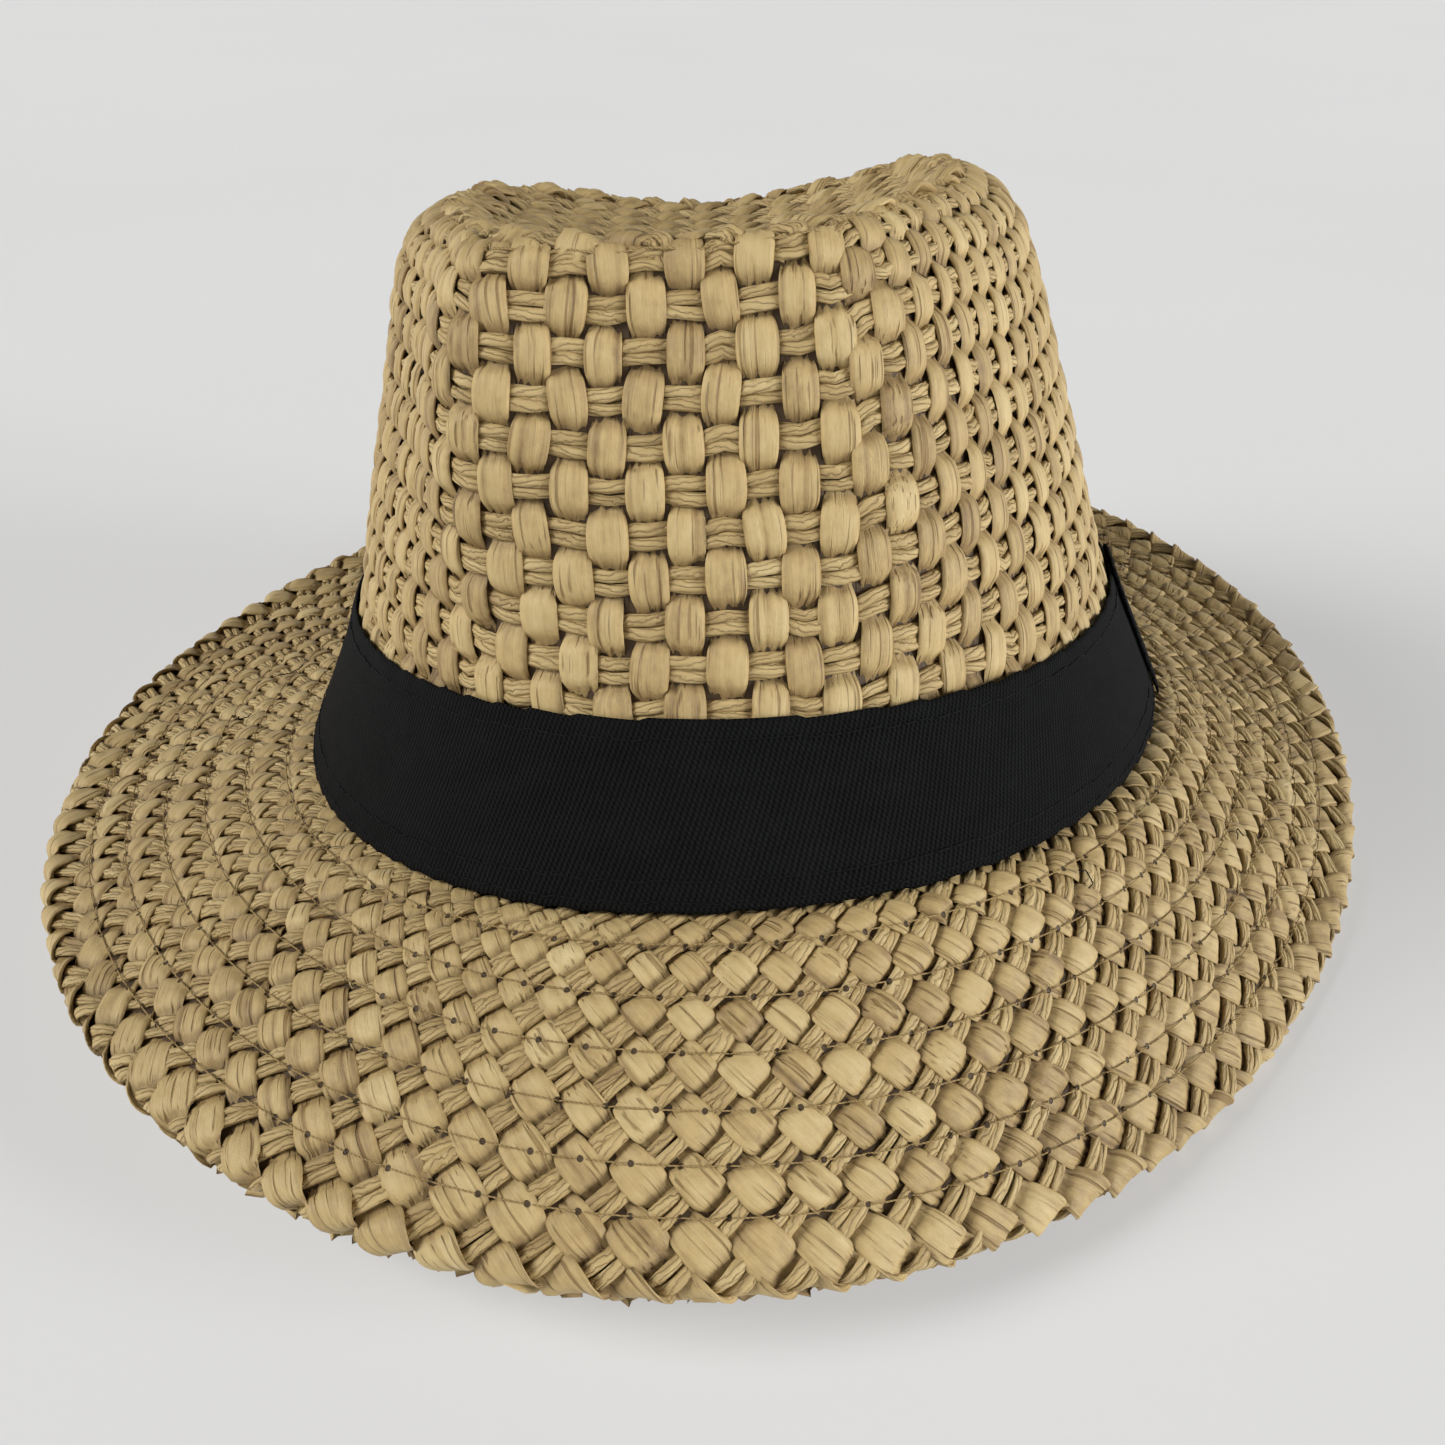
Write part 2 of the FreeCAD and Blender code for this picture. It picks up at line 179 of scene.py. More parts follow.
class Skin:
    """A surface as a grid of points: u closes on itself from 0 to 1, and v runs along vs."""

    def __init__(self, points, vs, outward=1):
        self.points = points
        self.vs = np.asarray(vs, float)
        self.normals = unit(np.cross(central(points), np.gradient(points, axis=1))) * outward

    def read(self, table, u, v):
        """The table's value at u and v, straight between grid points."""
        rows = len(table)
        x = np.mod(u, 1.0) * rows
        i = np.floor(x).astype(int) % rows
        fx = (x - np.floor(x))[..., None]
        y = np.interp(v, self.vs, np.arange(len(self.vs)))
        j = np.minimum(np.floor(y).astype(int), len(self.vs) - 2)
        fy = (y - j)[..., None]
        near = table[i, j] * (1 - fy) + table[i, j + 1] * fy
        far = table[(i + 1) % rows, j] * (1 - fy) + table[(i + 1) % rows, j + 1] * fy
        return near * (1 - fx) + far * fx

    def place(self, u, v):
        return self.read(self.points, u, v), unit(self.read(self.normals, u, v))


# ---------------------------------------------------------------- meshes

def mesh_piece(name, points, faces, material, slot, facts, painted_shade=None, seam=None):
    """A mesh object from head-frame points and rows of faces; facts, seam and the shade to be painted into
    its colour feed its material.
    """
    mesh = bpy.data.meshes.new(name)
    points = to_row(points.reshape(-1, 3))
    mesh.vertices.add(len(points))
    mesh.vertices.foreach_set("co", points.astype(np.float32).ravel())
    corners = np.concatenate([f.ravel() for f in faces])
    sizes = np.concatenate([np.full(len(f), f.shape[1]) for f in faces])
    mesh.loops.add(len(corners))
    mesh.loops.foreach_set("vertex_index", corners.astype(np.int32))
    mesh.polygons.add(len(sizes))
    mesh.polygons.foreach_set("loop_start", (np.cumsum(sizes) - sizes).astype(np.int32))
    mesh.update(calc_edges=True)
    mesh.validate()
    mesh.polygons.foreach_set("use_smooth", np.full(len(mesh.polygons), True))
    for key, values in (("strand", facts), ("seam", seam)):
        if values is not None:
            mesh.attributes.new(key, "FLOAT_VECTOR", "POINT").data.foreach_set(
                "vector", values.reshape(-1, 3).astype(np.float32).ravel())
    if painted_shade is not None:
        mesh.attributes.new("painted_shade", "FLOAT", "POINT").data.foreach_set(
            "value", painted_shade.ravel().astype(np.float32))
    mesh.materials.append(material)
    piece = bpy.data.objects.new(name, mesh)
    bpy.context.scene.collection.objects.link(piece)
    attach(piece, "root")
    return piece


def tube_faces(strands, sections, around, closed=False):
    """Quads along closed strands, and their end caps, for points in [strand, section, around] order."""
    first = np.arange(strands * sections * around).reshape(strands, sections, around)
    turned = np.roll(first, -1, 2)
    if closed:
        ahead, turned_ahead = np.roll(first, -1, 1), np.roll(turned, -1, 1)
        here, turned_here = first, turned
    else:
        here, turned_here, ahead, turned_ahead = first[:, :-1], turned[:, :-1], first[:, 1:], turned[:, 1:]
    quads = np.stack([here, ahead, turned_ahead, turned_here], -1).reshape(-1, 4)
    if closed:
        return [quads]
    return [quads, first[:, 0], first[:, -1, ::-1]]


def smoothstep(t):
    t = np.clip(t, 0, 1)
    return t * t * (3 - 2 * t)


def weave_shape(phase, sharpness=0.72):
    """A strand's rise and fall from 1 over a crossing strand to -1 under the next."""
    wave = np.cos(phase)
    return np.sign(wave) * np.abs(wave) ** sharpness


def frames_along(centres, normals, closed=False):
    ahead = unit(central(centres, 1) if closed else np.gradient(centres, axis=1))
    sides = unit(np.cross(ahead, normals))
    return sides, unit(np.cross(sides, ahead))


def strand_runs(centres):
    """The distance along each strand."""
    return np.cumsum(lengths(np.diff(centres, axis=1, prepend=centres[:, :1])), 1)


def drift(strands, sections, knots, size):
    """A slow random change along each strand."""
    values = RANDOM.normal(0, size, (strands, knots + 1))
    places = np.linspace(0, knots, sections)
    i = np.minimum(places.astype(int), knots - 1)
    t = smoothstep(places - i)
    return values[:, i] * (1 - t) + values[:, i + 1] * t


WIDE_TOP = np.array([1.0, 0.96, 0.78, 0.55, 0.28, 0.0, -0.28, -0.55, -0.78, -0.96, -1.0])
WIDE_BACK = np.array([-0.7, 0.7])


def wide_strands(name, centres, normals, over, cell, width, material, rise=1.0, square=3.0,
                 uneven=1.0, sewn=None):
    """Flat folded paper strands: over is 1 where a strand shows and -1 where it is tucked under.

    cell counts the places where a strand shows, so each swollen stretch has folds of its own.
    square is how flat the top is between its edges, and uneven how much the stretches differ.
    sewn gives how far thread pulls points in, and their places among the stitches.
    """
    strands, sections = over.shape
    sides, ups = frames_along(centres, normals)
    shown = smoothstep(over * 0.5 + 0.5)
    barrel = np.clip(np.cos(TURN * cell) + 0.15, 0, 1) ** 0.45
    cells = int(np.ceil(cell.max() - cell.min())) + 3
    index = cell - np.floor(cell.min())
    base = np.floor(index).astype(int)
    blend = smoothstep(index - base)[..., None]
    top = len(WIDE_TOP)
    row = np.arange(strands)[:, None]

    def eased(table):
        """A value for each swollen stretch, turning into the next where the strand is hidden."""
        return table[row, base] * (1 - blend) + table[row, base + 1] * blend

    folds = RANDOM.normal(0, 0.05, (strands, cells, top))
    shifts = RANDOM.normal(0, 0.035, (strands, cells, top))
    for _ in range(3):
        where = RANDOM.integers(2, top - 2, (strands, cells))
        depth = RANDOM.uniform(0.04, 0.42, (strands, cells)) * (RANDOM.random((strands, cells)) < 0.75)
        np.put_along_axis(folds, where[..., None], -depth[..., None], 2)
    side = RANDOM.integers(0, 2, (strands, cells, 1))
    from_edge = np.where(side, top - 1 - np.arange(top), np.arange(top))
    flap = RANDOM.uniform(0.10, 0.34, (strands, cells, 1)) * (RANDOM.random((strands, cells, 1)) < 0.7)
    folds -= flap * (from_edge < RANDOM.integers(2, 5, (strands, cells, 1)))
    folds[:, :, (0, -1)] = 0
    shifts[:, :, (0, -1)] = 0
    fold, shift = eased(folds), eased(shifts)
    swell = eased(1 + uneven * RANDOM.uniform(-0.08, 0.06, (strands, cells, 1)))[..., 0]
    lean = eased(uneven * RANDOM.normal(0, 0.12, (strands, cells, 1)))
    half = width / 2 * (0.84 + 0.20 * barrel) * swell
    across = np.concatenate([WIDE_TOP + shift, np.broadcast_to(WIDE_BACK, (*over.shape, 2))], 2)
    dome = np.clip(1 - np.abs(WIDE_TOP) ** square, 0, 1) ** 0.5 * (1 + lean * WIDE_TOP)
    gather = np.sin(RANDOM.uniform(0, TURN, (strands, 1, 1)) + 9 * np.arange(top)) * 0.13
    high = (0.30 + 0.62 * shown)[..., None] * dome * rise
    high = high + (fold * (1.35 - 0.45 * shown)[..., None] + gather * (1 - barrel)[..., None]) * rise
    height = np.concatenate([high, np.full((*over.shape, 2), -0.34)], 2)
    scale = np.clip(half / 2.7, 0.45, 1.1)[..., None]
    height = height * scale
    seam = None
    if sewn is not None:
        sink, seam = sewn(across * half[..., None])
        height = height - sink
    rings = (centres[:, :, None] + (across * half[..., None])[..., None] * sides[:, :, None]
             + height[..., None] * ups[:, :, None])
    run = strand_runs(centres)
    tone = eased(RANDOM.normal(0, 0.34, (strands, cells, 1)))[..., 0] + RANDOM.normal(0, 0.35, (strands, 1))
    offset = RANDOM.uniform(0, 900, (strands, 1))
    facts = np.stack([
        np.broadcast_to((run + offset)[..., None], across.shape),
        across * width[..., None] / 2,
        np.broadcast_to(tone[..., None], across.shape)], -1)
    # Painted shade: the straw darkens where a strand dips under the crossing strands, towards its edges where
    # it meets its neighbours, and in its deeper folds.
    crease = np.concatenate([np.clip(-fold - 0.12, 0, 1) * 3.0, np.zeros((*over.shape, 2))], 2)
    painted_shade = (1 - shown)[..., None] + 0.35 * np.abs(across) ** 8 + crease
    return mesh_piece(name, rings, tube_faces(strands, sections, top + 2), material, "straw",
                      facts, painted_shade, seam)


NARROW_ROUND = 10
SECTIONS_PER_KNOT = 9       # of the slow random changes along narrow strands


def narrow_strands(name, centres, normals, over, spread, radius, material, closed=False, sewn=None):
    """Pairs of crumpled narrow strands that run side by side."""
    sides, ups = frames_along(centres, normals, closed)
    strands, sections = over.shape
    run = strand_runs(centres)
    shown = smoothstep(over * 0.5 + 0.5)
    angle = TURN * np.arange(NARROW_ROUND) / NARROW_ROUND
    rings, facts, painted_shades, seams = [], [], [], []
    for side in (-1, 1):
        knots = max(sections // SECTIONS_PER_KNOT, 2)
        wander = drift(strands, sections, knots, 0.10)
        thick = 1 + drift(strands, sections, knots, 0.09)
        lift = drift(strands, sections, knots, 0.10)
        if closed:
            ease = np.minimum(1, np.minimum(np.arange(sections), sections - np.arange(sections)) / 12)
            wander, lift, thick = wander * ease, lift * ease, 1 + (thick - 1) * ease
        else:
            ease = np.ones(sections)
        twist = run[..., None] * 0.42 * side + RANDOM.uniform(0, TURN, (strands, 1, 1))
        lobes = 0.13 * np.cos(4 * angle - twist) + 0.10 * np.cos(3 * angle + twist * 0.7)
        lobes = 1 + lobes * ease[:, None]
        lateral = (side * spread * (0.90 + 0.10 * shown) + wander)[..., None]
        size = radius * thick[..., None] * lobes
        wide = lateral + size * np.cos(angle)
        tall = lift[..., None] + 0.70 * size * np.sin(angle)
        if sewn is not None:
            sink, seam = sewn(wide)
            tall = tall - sink
            seams.append(seam)
        rings.append(centres[:, :, None] + wide[..., None] * sides[:, :, None]
                     + tall[..., None] * ups[:, :, None])
        tone = RANDOM.normal(0, 0.35, (strands, 1)) + drift(strands, sections, knots, 0.25)
        along = np.broadcast_to((run + RANDOM.uniform(0, 900, (strands, 1)))[..., None], wide.shape)
        facts.append(np.stack([
            along, np.broadcast_to(angle * radius * side, wide.shape),
            np.broadcast_to(tone[..., None], wide.shape)], -1))
        # Painted shade where the pair dips under the wide strands.
        painted_shades.append(np.broadcast_to(1 - shown[..., None], wide.shape))
    faces = tube_faces(2 * strands, sections, NARROW_ROUND, closed)
    return mesh_piece(name, np.concatenate(rings), faces, material, "straw", np.concatenate(facts),
                      np.concatenate(painted_shades), np.concatenate(seams) if seams else None)


# ---------------------------------------------------------------- materials

class Nodes:
    """Short names for building a material's node tree."""

    def __init__(self, name):
        self.material = bpy.data.materials.new(name)
        self.material.use_nodes = True
        self.tree = self.material.node_tree
        self.shader = self.tree.nodes["Principled BSDF"]

    def add(self, kind, inputs=(), **settings):
        node = self.tree.nodes.new(kind)
        for key, value in settings.items():
            setattr(node, key, value)
        for key, value in dict(inputs).items():
            self.feed(node.inputs[key], value)
        return node

    def feed(self, socket, value):
        if isinstance(value, bpy.types.NodeSocket):
            self.tree.links.new(value, socket)
        else:
            socket.default_value = value

    def math(self, operation, *values):
        node = self.add("ShaderNodeMath", operation=operation)
        for socket, value in zip(node.inputs, values):
            self.feed(socket, value)
        return node.outputs[0]

    def attribute(self, name, output):
        return self.add("ShaderNodeAttribute", attribute_name=name).outputs[output]

    def split(self, vector):
        return self.add("ShaderNodeSeparateXYZ", {"Vector": vector}).outputs

    def total(self, first, *terms):
        """first and each (value, factor) term, added up."""
        for value, factor in terms:
            first = self.math("MULTIPLY_ADD", value, factor, first)
        return first

    def clamp(self, value):
        return self.math("MINIMUM", self.math("MAXIMUM", value, 0.0), 1.0)

    def noise(self, vector, scale, detail=3.0, roughness=0.55, distortion=0.0):
        return self.add("ShaderNodeTexNoise", {
            "Vector": vector, "Scale": scale, "Detail": detail, "Roughness": roughness,
            "Distortion": distortion}).outputs["Fac"]

    def stretched(self, vector, scale):
        return self.add("ShaderNodeMapping", {"Vector": vector, "Scale": scale}).outputs[0]

    def ramp(self, value, stops):
        node = self.add("ShaderNodeValToRGB", {"Fac": value})
        elements = node.color_ramp.elements
        while len(elements) < len(stops):
            elements.new(0.5)
        for element, (place, colour) in zip(elements, stops):
            element.position = place
            element.color = (*colour, 1)
        return node.outputs["Color"]

    def mix(self, share, first, second, blend="MIX"):
        node = self.add("ShaderNodeMix", data_type="RGBA", blend_type=blend)
        for socket, value in zip((node.inputs[0], node.inputs[6], node.inputs[7]), (share, first, second)):
            self.feed(socket, value)
        return node.outputs[2]

    def bump(self, height, distance):
        return self.add("ShaderNodeBump", {"Height": height, "Distance": distance}).outputs[0]

    def finish(self, colour, roughness, normal=None, **constants):
        for key, value in (("Base Color", colour), ("Roughness", roughness), ("Normal", normal)):
            if value is not None:
                self.feed(self.shader.inputs[key], value)
        for key, value in constants.items():
            self.shader.inputs[key.replace("_", " ")].default_value = value
        return self.material


STRAW_DARK = (0.070, 0.040, 0.016)
STRAW_BROWN = (0.30, 0.200, 0.085)
STRAW_BASE = (0.51, 0.372, 0.166)
STRAW_PALE = (0.68, 0.545, 0.285)


def stitch_count(row):
    """Stitches in the brim's row at a slant distance from the crown."""
    return round((BRIM_ROOT_GIRTH + TURN * BRIM_FLARE * row) / STITCH)


def needle_holes(n):
    """1 in the brim's needle holes and 0 elsewhere, from each point's turn and slant distance."""
    turn, reach, _ = n.split(n.attribute("seam", "Vector"))
    nearest = None
    for row in STITCH_ROWS:
        stitch = n.math("FRACT", n.math("MULTIPLY", turn, float(stitch_count(row))))
        along = n.math("MULTIPLY", n.math("SUBTRACT", stitch, 0.5), STITCH)
        off = n.math("SUBTRACT", reach, row)
        away = n.math("ADD", n.math("POWER", along, 2.0), n.math("POWER", off, 2.0))
        nearest = away if nearest is None else n.math("MINIMUM", nearest, away)
    return n.clamp(n.total(2.0, (nearest, -2.0 / NEEDLE_HOLE ** 2)))


def straw_material(name, twisted, sewn=False):
    """Dry paper straw: fibres along the strand, fine crinkles, a colour for each strand, and painted shade
    under crossing strands, in creases and, when sewn, in needle holes.
    """
    n = Nodes(name)
    facts = n.attribute("strand", "Vector")
    along, across, tone = n.split(facts)
    place = n.stretched(facts, (1.0, 1.0, 7.0))
    # Painted shade from the mesh: darker under crossing strands, at strand edges, in folds and over the dark
    # middle layers.
    painted_shade = n.attribute("painted_shade", "Fac")
    fibres = n.noise(n.stretched(place, (0.22, 4.2, 1.0)), 1.0, 4.0, 0.65)
    streaks = n.noise(n.stretched(place, (0.10, 1.3, 1.0)), 1.0, 2.0, 0.5)
    blotches = n.noise(n.stretched(place, (0.35, 0.5, 1.0)), 1.0, 3.0, 0.6)
    crinkle = n.noise(n.stretched(place, (0.9, 1.5, 1.0)), 1.0, 4.0, 0.7, 0.8)
    middle = 0.56 - 0.5 * (0.30 + 0.24 + 0.35)
    value = n.total(middle, (tone, 0.13), (fibres, 0.30), (streaks, 0.24), (blotches, 0.35), (painted_shade, -0.20))
    colour = n.ramp(value, ((0.05, STRAW_DARK), (0.32, STRAW_BROWN), (0.56, STRAW_BASE), (0.86, STRAW_PALE)))
    if twisted:
        slope = n.total(0.0, (along, 0.55), (across, 2.9), (blotches, 6.0))
        crease = n.math("POWER", n.math("ABSOLUTE", n.math("SINE", slope)), 0.45)
    else:
        lines = n.noise(n.stretched(place, (0.035, 1.5, 1.0)), 1.0, 1.5, 0.45)
        crease = n.clamp(n.total(-0.30 * 9.0, (lines, 9.0)))
    height = n.total(crinkle, (fibres, 0.6), (crease, 1.6))
    # Painted shade: the colour darkens along the crease lines that the bump also follows.
    colour = n.mix(1.0, colour, n.ramp(crease, ((0.05, (0.60, 0.53, 0.45)), (0.8, (1, 1, 1)))), "MULTIPLY")
    if sewn:
        hole = needle_holes(n)
        # Painted shade inside the needle holes, which the bump also dents.
        colour = n.mix(hole, colour, (0.075, 0.045, 0.02, 1))
        height = n.total(height, (hole, -3.0))
    normal = n.bump(height, 0.00016 if twisted else 0.00015)
    return n.finish(colour, n.total(0.40, (blotches, 0.25)), normal, Specular_IOR_Level=0.36)


def plain_cloth(name, colours):
    """Stiff cloth with a fine grain and a little change in colour."""
    n = Nodes(name)
    grain = n.noise(n.add("ShaderNodeTexCoord").outputs["Object"], 1400.0, 4.0, 0.6)
    colour = n.ramp(grain, ((0.3, colours[0]), (0.7, colours[1])))
    return n.finish(colour, 0.8, n.bump(grain, 0.0001), Specular_IOR_Level=0.25)


def thread_material(name, colours):
    """Twisted sewing thread: strand coordinates run along it and round it, in millimetres."""
    n = Nodes(name)
    along, round_it, _ = n.split(n.attribute("strand", "Vector"))
    twist = n.math("SINE", n.total(0.0, (along, 9.0), (round_it, 11.0)))
    grain = n.noise(n.add("ShaderNodeTexCoord").outputs["Object"], 2600.0, 3.0)
    # Partly painted shade: the colour darkens in the twist's grooves, which the bump also follows; grain is
    # the thread's own speckle.
    value = n.total(0.25, (twist, 0.25), (grain, 0.5))
    colour = n.ramp(value, ((0.2, colours[0]), (0.75, colours[1])))
    return n.finish(colour, 0.7, n.bump(value, 0.00006), Specular_IOR_Level=0.12)


def drawn_steel(name):
    n = Nodes(name)
    place = n.add("ShaderNodeTexCoord").outputs["Object"]
    streaks = n.noise(n.stretched(place, (60.0, 60.0, 900.0)), 1.0, 3.0)
    colour = n.ramp(streaks, ((0.3, (0.20, 0.17, 0.13)), (0.7, (0.34, 0.30, 0.24))))
    return n.finish(colour, 0.5, n.bump(streaks, 0.00003), Metallic=0.7)


def ribbon_material(name, colours, rib, slant):
    """Tape with twill ribs, rib apart along it and leaning by slant, with painted highlight on the ribs and
    painted shade between them: its facts are along and across it.
    """
    n = Nodes(name)
    facts = n.attribute("strand", "Vector")
    along, across, _ = n.split(facts)
    wobble = n.noise(n.stretched(facts, (0.6, 0.6, 1.0)), 1.0, 2.0)
    turn = TURN / rib
    ahead = n.total(0.0, (along, turn), (wobble, 2.5))
    twill = n.math("SINE", n.total(ahead, (across, -turn * slant)))
    yarn = n.math("SINE", n.total(ahead, (across, turn * 0.95)))
    grain = n.noise(n.stretched(facts, (2.2, 2.2, 1.0)), 1.0, 4.0, 0.65)
    soft = n.noise(n.stretched(facts, (0.12, 0.2, 1.0)), 1.0, 2.0)
    height = n.total(0.0, (twill, 0.5), (yarn, 0.35), (grain, 0.9))
    # Painted highlight and shade: the colour follows the relief, lighter on the ribs and darker between them;
    # soft is the tape's own change in tone.
    value = n.total(0.14, (height, 0.34), (soft, 0.3))
    colour = n.ramp(value, ((0.2, colours[0]), (0.9, colours[1])))
    return n.finish(colour, 0.78, n.bump(height, 0.00016), Specular_IOR_Level=0.08)


WIDE_STRAW = straw_material("straw_wide", False)
NARROW_STRAW = straw_material("straw_narrow", True)
WIDE_SEWN_STRAW = straw_material("straw_wide_sewn", False, sewn=True)
NARROW_SEWN_STRAW = straw_material("straw_narrow_sewn", True, sewn=True)
THREAD_TAN = thread_material("thread_tan", ((0.20, 0.135, 0.055), (0.43, 0.31, 0.14)))
RIBBON_BLACK = ribbon_material(
    "ribbon_black", ((0.0003, 0.0004, 0.0005), (0.0125, 0.0132, 0.0136)), 0.9, 0.335)
SWEAT_BLACK = ribbon_material("sweatband_black", ((0.004, 0.004, 0.005), (0.022, 0.022, 0.025)), 0.7, 0.1)
LABEL_PALE = ribbon_material("label_pale", ((0.50, 0.48, 0.44), (0.78, 0.76, 0.71)), 0.5, 0.0)
TAPE_BROWN = ribbon_material("binding_brown", ((0.20, 0.14, 0.075), (0.46, 0.35, 0.21)), 0.7, 0.5)
THREAD_BLACK = thread_material("thread_black", ((0.0015, 0.0016, 0.002), (0.008, 0.0085, 0.010)))
INTERLINING_TAN = plain_cloth("interlining_tan", ((0.22, 0.155, 0.08), (0.36, 0.27, 0.15)))
WIRE_STEEL = drawn_steel("wire_steel")


# ---------------------------------------------------------------- crown wall

def crown_profiles(turns, samples):
    """Lines up the crown wall's outer face from under the ribbon to the rim, at even turns."""
    tree = tree_of("crown_side")
    hub = np.array([0.0, 0.0, 45.0])
    lines = []
    for turn in turns:
        line = []
        for rise in np.radians(np.arange(-42.0, 74.0, 0.6)):
            out = heading(turn, rise)
            hit, normal = cast(tree, hub + out * CLEAR_OF_HAT, -out, CLEAR_OF_HAT - 1)
            if hit is None or normal @ heading(turn) < 0:
                if line:
                    break
                continue
            if hit[2] > WALL_FOOT:
                line.append(hit)
        lines.append(spaced(line, samples))
    return np.array(lines)


def drawn_together(arc, length, base_length, height):
    """Where a strand that starts at arc on the base ring lies on a shorter ring higher up."""
    share = (FRONT_TO - FRONT_FROM) / base_length
    front = FRONT_PITCH[0] + (FRONT_PITCH[1] - FRONT_PITCH[0]) * height
    rest = (length / base_length - front * share) / (1 - share)

    def on_panel(place):
        """How much of the way from far left to a place lies on the front panel."""
        into = (place - FRONT_FROM) / FRONT_EDGE
        past = (place - FRONT_TO) / FRONT_EDGE
        return FRONT_EDGE / 2 * (np.logaddexp(into, -into) - np.logaddexp(past, -past))

    return rest * arc + (front - rest) * (on_panel(arc) - on_panel(0.0))


def crown_skin():
    """The wall's outer face on a grid whose u follows the strands and whose v counts the rows."""
    samples = 110
    turns = np.linspace(0, TURN, 241)[:-1] - math.pi
    profiles = crown_profiles(turns, samples)
    columns = 2 * WALL_WARPS
    grid = np.zeros((columns, samples, 3))
    base_length = None
    for j in range(samples):
        ring = np.concatenate([profiles[:, j], profiles[:1, j]])
        arc = run_along(ring)
        length = arc[-1]
        arc = arc - np.interp(0, np.append(turns, math.pi), arc)
        base_length = base_length or length
        start = base_length * (np.arange(columns) / columns - 0.5)
        places = drawn_together(start, length, base_length, j / (samples - 1))
        grid[:, j] = read_line(arc[0] + np.mod(places - arc[0], length), arc, ring)
    rim = grid[:, -1]
    inward = unit((rim.mean(0) - rim) * (1, 1, 0))
    lip = [rim + inward * across - UP * down for across, down in ((0.9, 0.1), (1.7, 0.7), (2.0, 2.2))]
    grid = np.concatenate([grid, np.stack(lip, 1)], 1)
    vs = np.concatenate([np.linspace(0, WALL_ROWS, samples), WALL_ROWS + np.array([0.14, 0.30, 0.52])])
    return Skin(grid, vs)


def wall_press(v):
    """How far the relief opens out above the ribbon, from 0.55 beneath it to 1."""
    reach = WALL_FOOT + v * WEFT_PITCH
    return 0.55 + 0.45 * smoothstep((reach - PRESSED_TO + 3) / 5)


def shares(count, parts):
    """Index ranges that share out count strands, so that no piece has too many faces."""
    edges = np.linspace(0, count, parts + 1).astype(int)
    return [slice(a, b) for a, b in zip(edges[:-1], edges[1:])]


def build_crown():
    """The wall's upright wide strands, its rings of narrow ones, and a dark layer in its middle that paints
    shade into the gaps between them.
    """
    skin = crown_skin()
    sections = 8 * WALL_ROWS + 5
    v = np.linspace(0, WALL_ROWS + 0.5, sections)[None, :] + np.zeros((WALL_WARPS, 1))
    number = np.arange(WALL_WARPS)
    u = (number[:, None] + 0.5) / WALL_WARPS
    u = u + drift(WALL_WARPS, sections, 9, 0.0007)
    phase = math.pi * (v - 0.5 + number[:, None])
    over = weave_shape(phase, 0.55)
    flat = smoothstep((v - WALL_ROWS + 0.5) / 0.6)
    over = over * (1 - flat) + 0.6 * flat
    places, normals = skin.place(u, v)
    press = wall_press(v)
    centres = places + normals * (over * CROWN_RELIEF[0] * press - STRAW / 2)[..., None]
    beside, _ = skin.place(u + 1.0 / WALL_WARPS, v)
    width = lengths(beside - places) * 0.58 + 2.55
    pieces = [wide_strands(f"crown_wide_straw_{k + 1}", centres[part], normals[part], over[part],
                           phase[part] / TURN, width[part], WIDE_STRAW, rise=0.84, square=4.5)
              for k, part in enumerate(shares(WALL_WARPS, 2))]
    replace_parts(pieces[0], "crown_side")
    count = 6 * WALL_WARPS
    rows = np.arange(WALL_ROWS)
    u = np.arange(count)[None, :] / count + np.zeros((WALL_ROWS, 1))
    v = rows[:, None] + 0.5 + np.zeros((1, count))
    over = -weave_shape(math.pi * (u * WALL_WARPS - 0.5 + rows[:, None]), 0.85)
    places, normals = skin.place(u, v)
    above, _ = skin.place(u, v + 0.5)
    below, _ = skin.place(u, v - 0.5)
    pitch = lengths(above - below)
    centres = places + normals * (over * CROWN_RELIEF[1] * wall_press(v) - STRAW / 2 - 0.12)[..., None]
    for k, part in enumerate(shares(WALL_ROWS, 2)):
        narrow_strands(f"crown_narrow_straw_{k + 1}", centres[part], normals[part], over[part],
                       0.98 * pitch[part] / WEFT_PITCH, 1.02, NARROW_STRAW, closed=True)
    gap_shade_layer("crown_gap_shade_layer", skin, WALL_ROWS - 0.2, STRAW / 2 + 0.35)
    return skin


def gap_shade_layer(name, skin, end, depth):
    """A thin dark layer in the middle of a cloth: painted shade that shows in the gaps between its strands.
    """
    count, samples = 2 * WALL_WARPS, 90
    u = np.arange(count)[:, None] / count + np.zeros((1, samples))
    v = np.linspace(0, end, samples) + np.zeros((count, 1))
    places, normals = skin.place(u, v)
    faces = [places - normals * level for level in (depth, depth + 0.25)]
    rings = np.concatenate([faces[0], faces[1][:, ::-1]], 1)
    facts = np.stack(np.broadcast_arrays(v * WEFT_PITCH, u * 560, 0.0), -1)
    facts = np.concatenate([facts, facts[:, ::-1]], 1)
    # The whole layer carries painted shade, so it renders as the darkest straw.
    mesh_piece(name, rings, tube_faces(1, count, 2 * samples, closed=True), WIDE_STRAW,
               "straw", facts, np.full(rings.shape[:2], 3.0))


# ---------------------------------------------------------------- crown tip

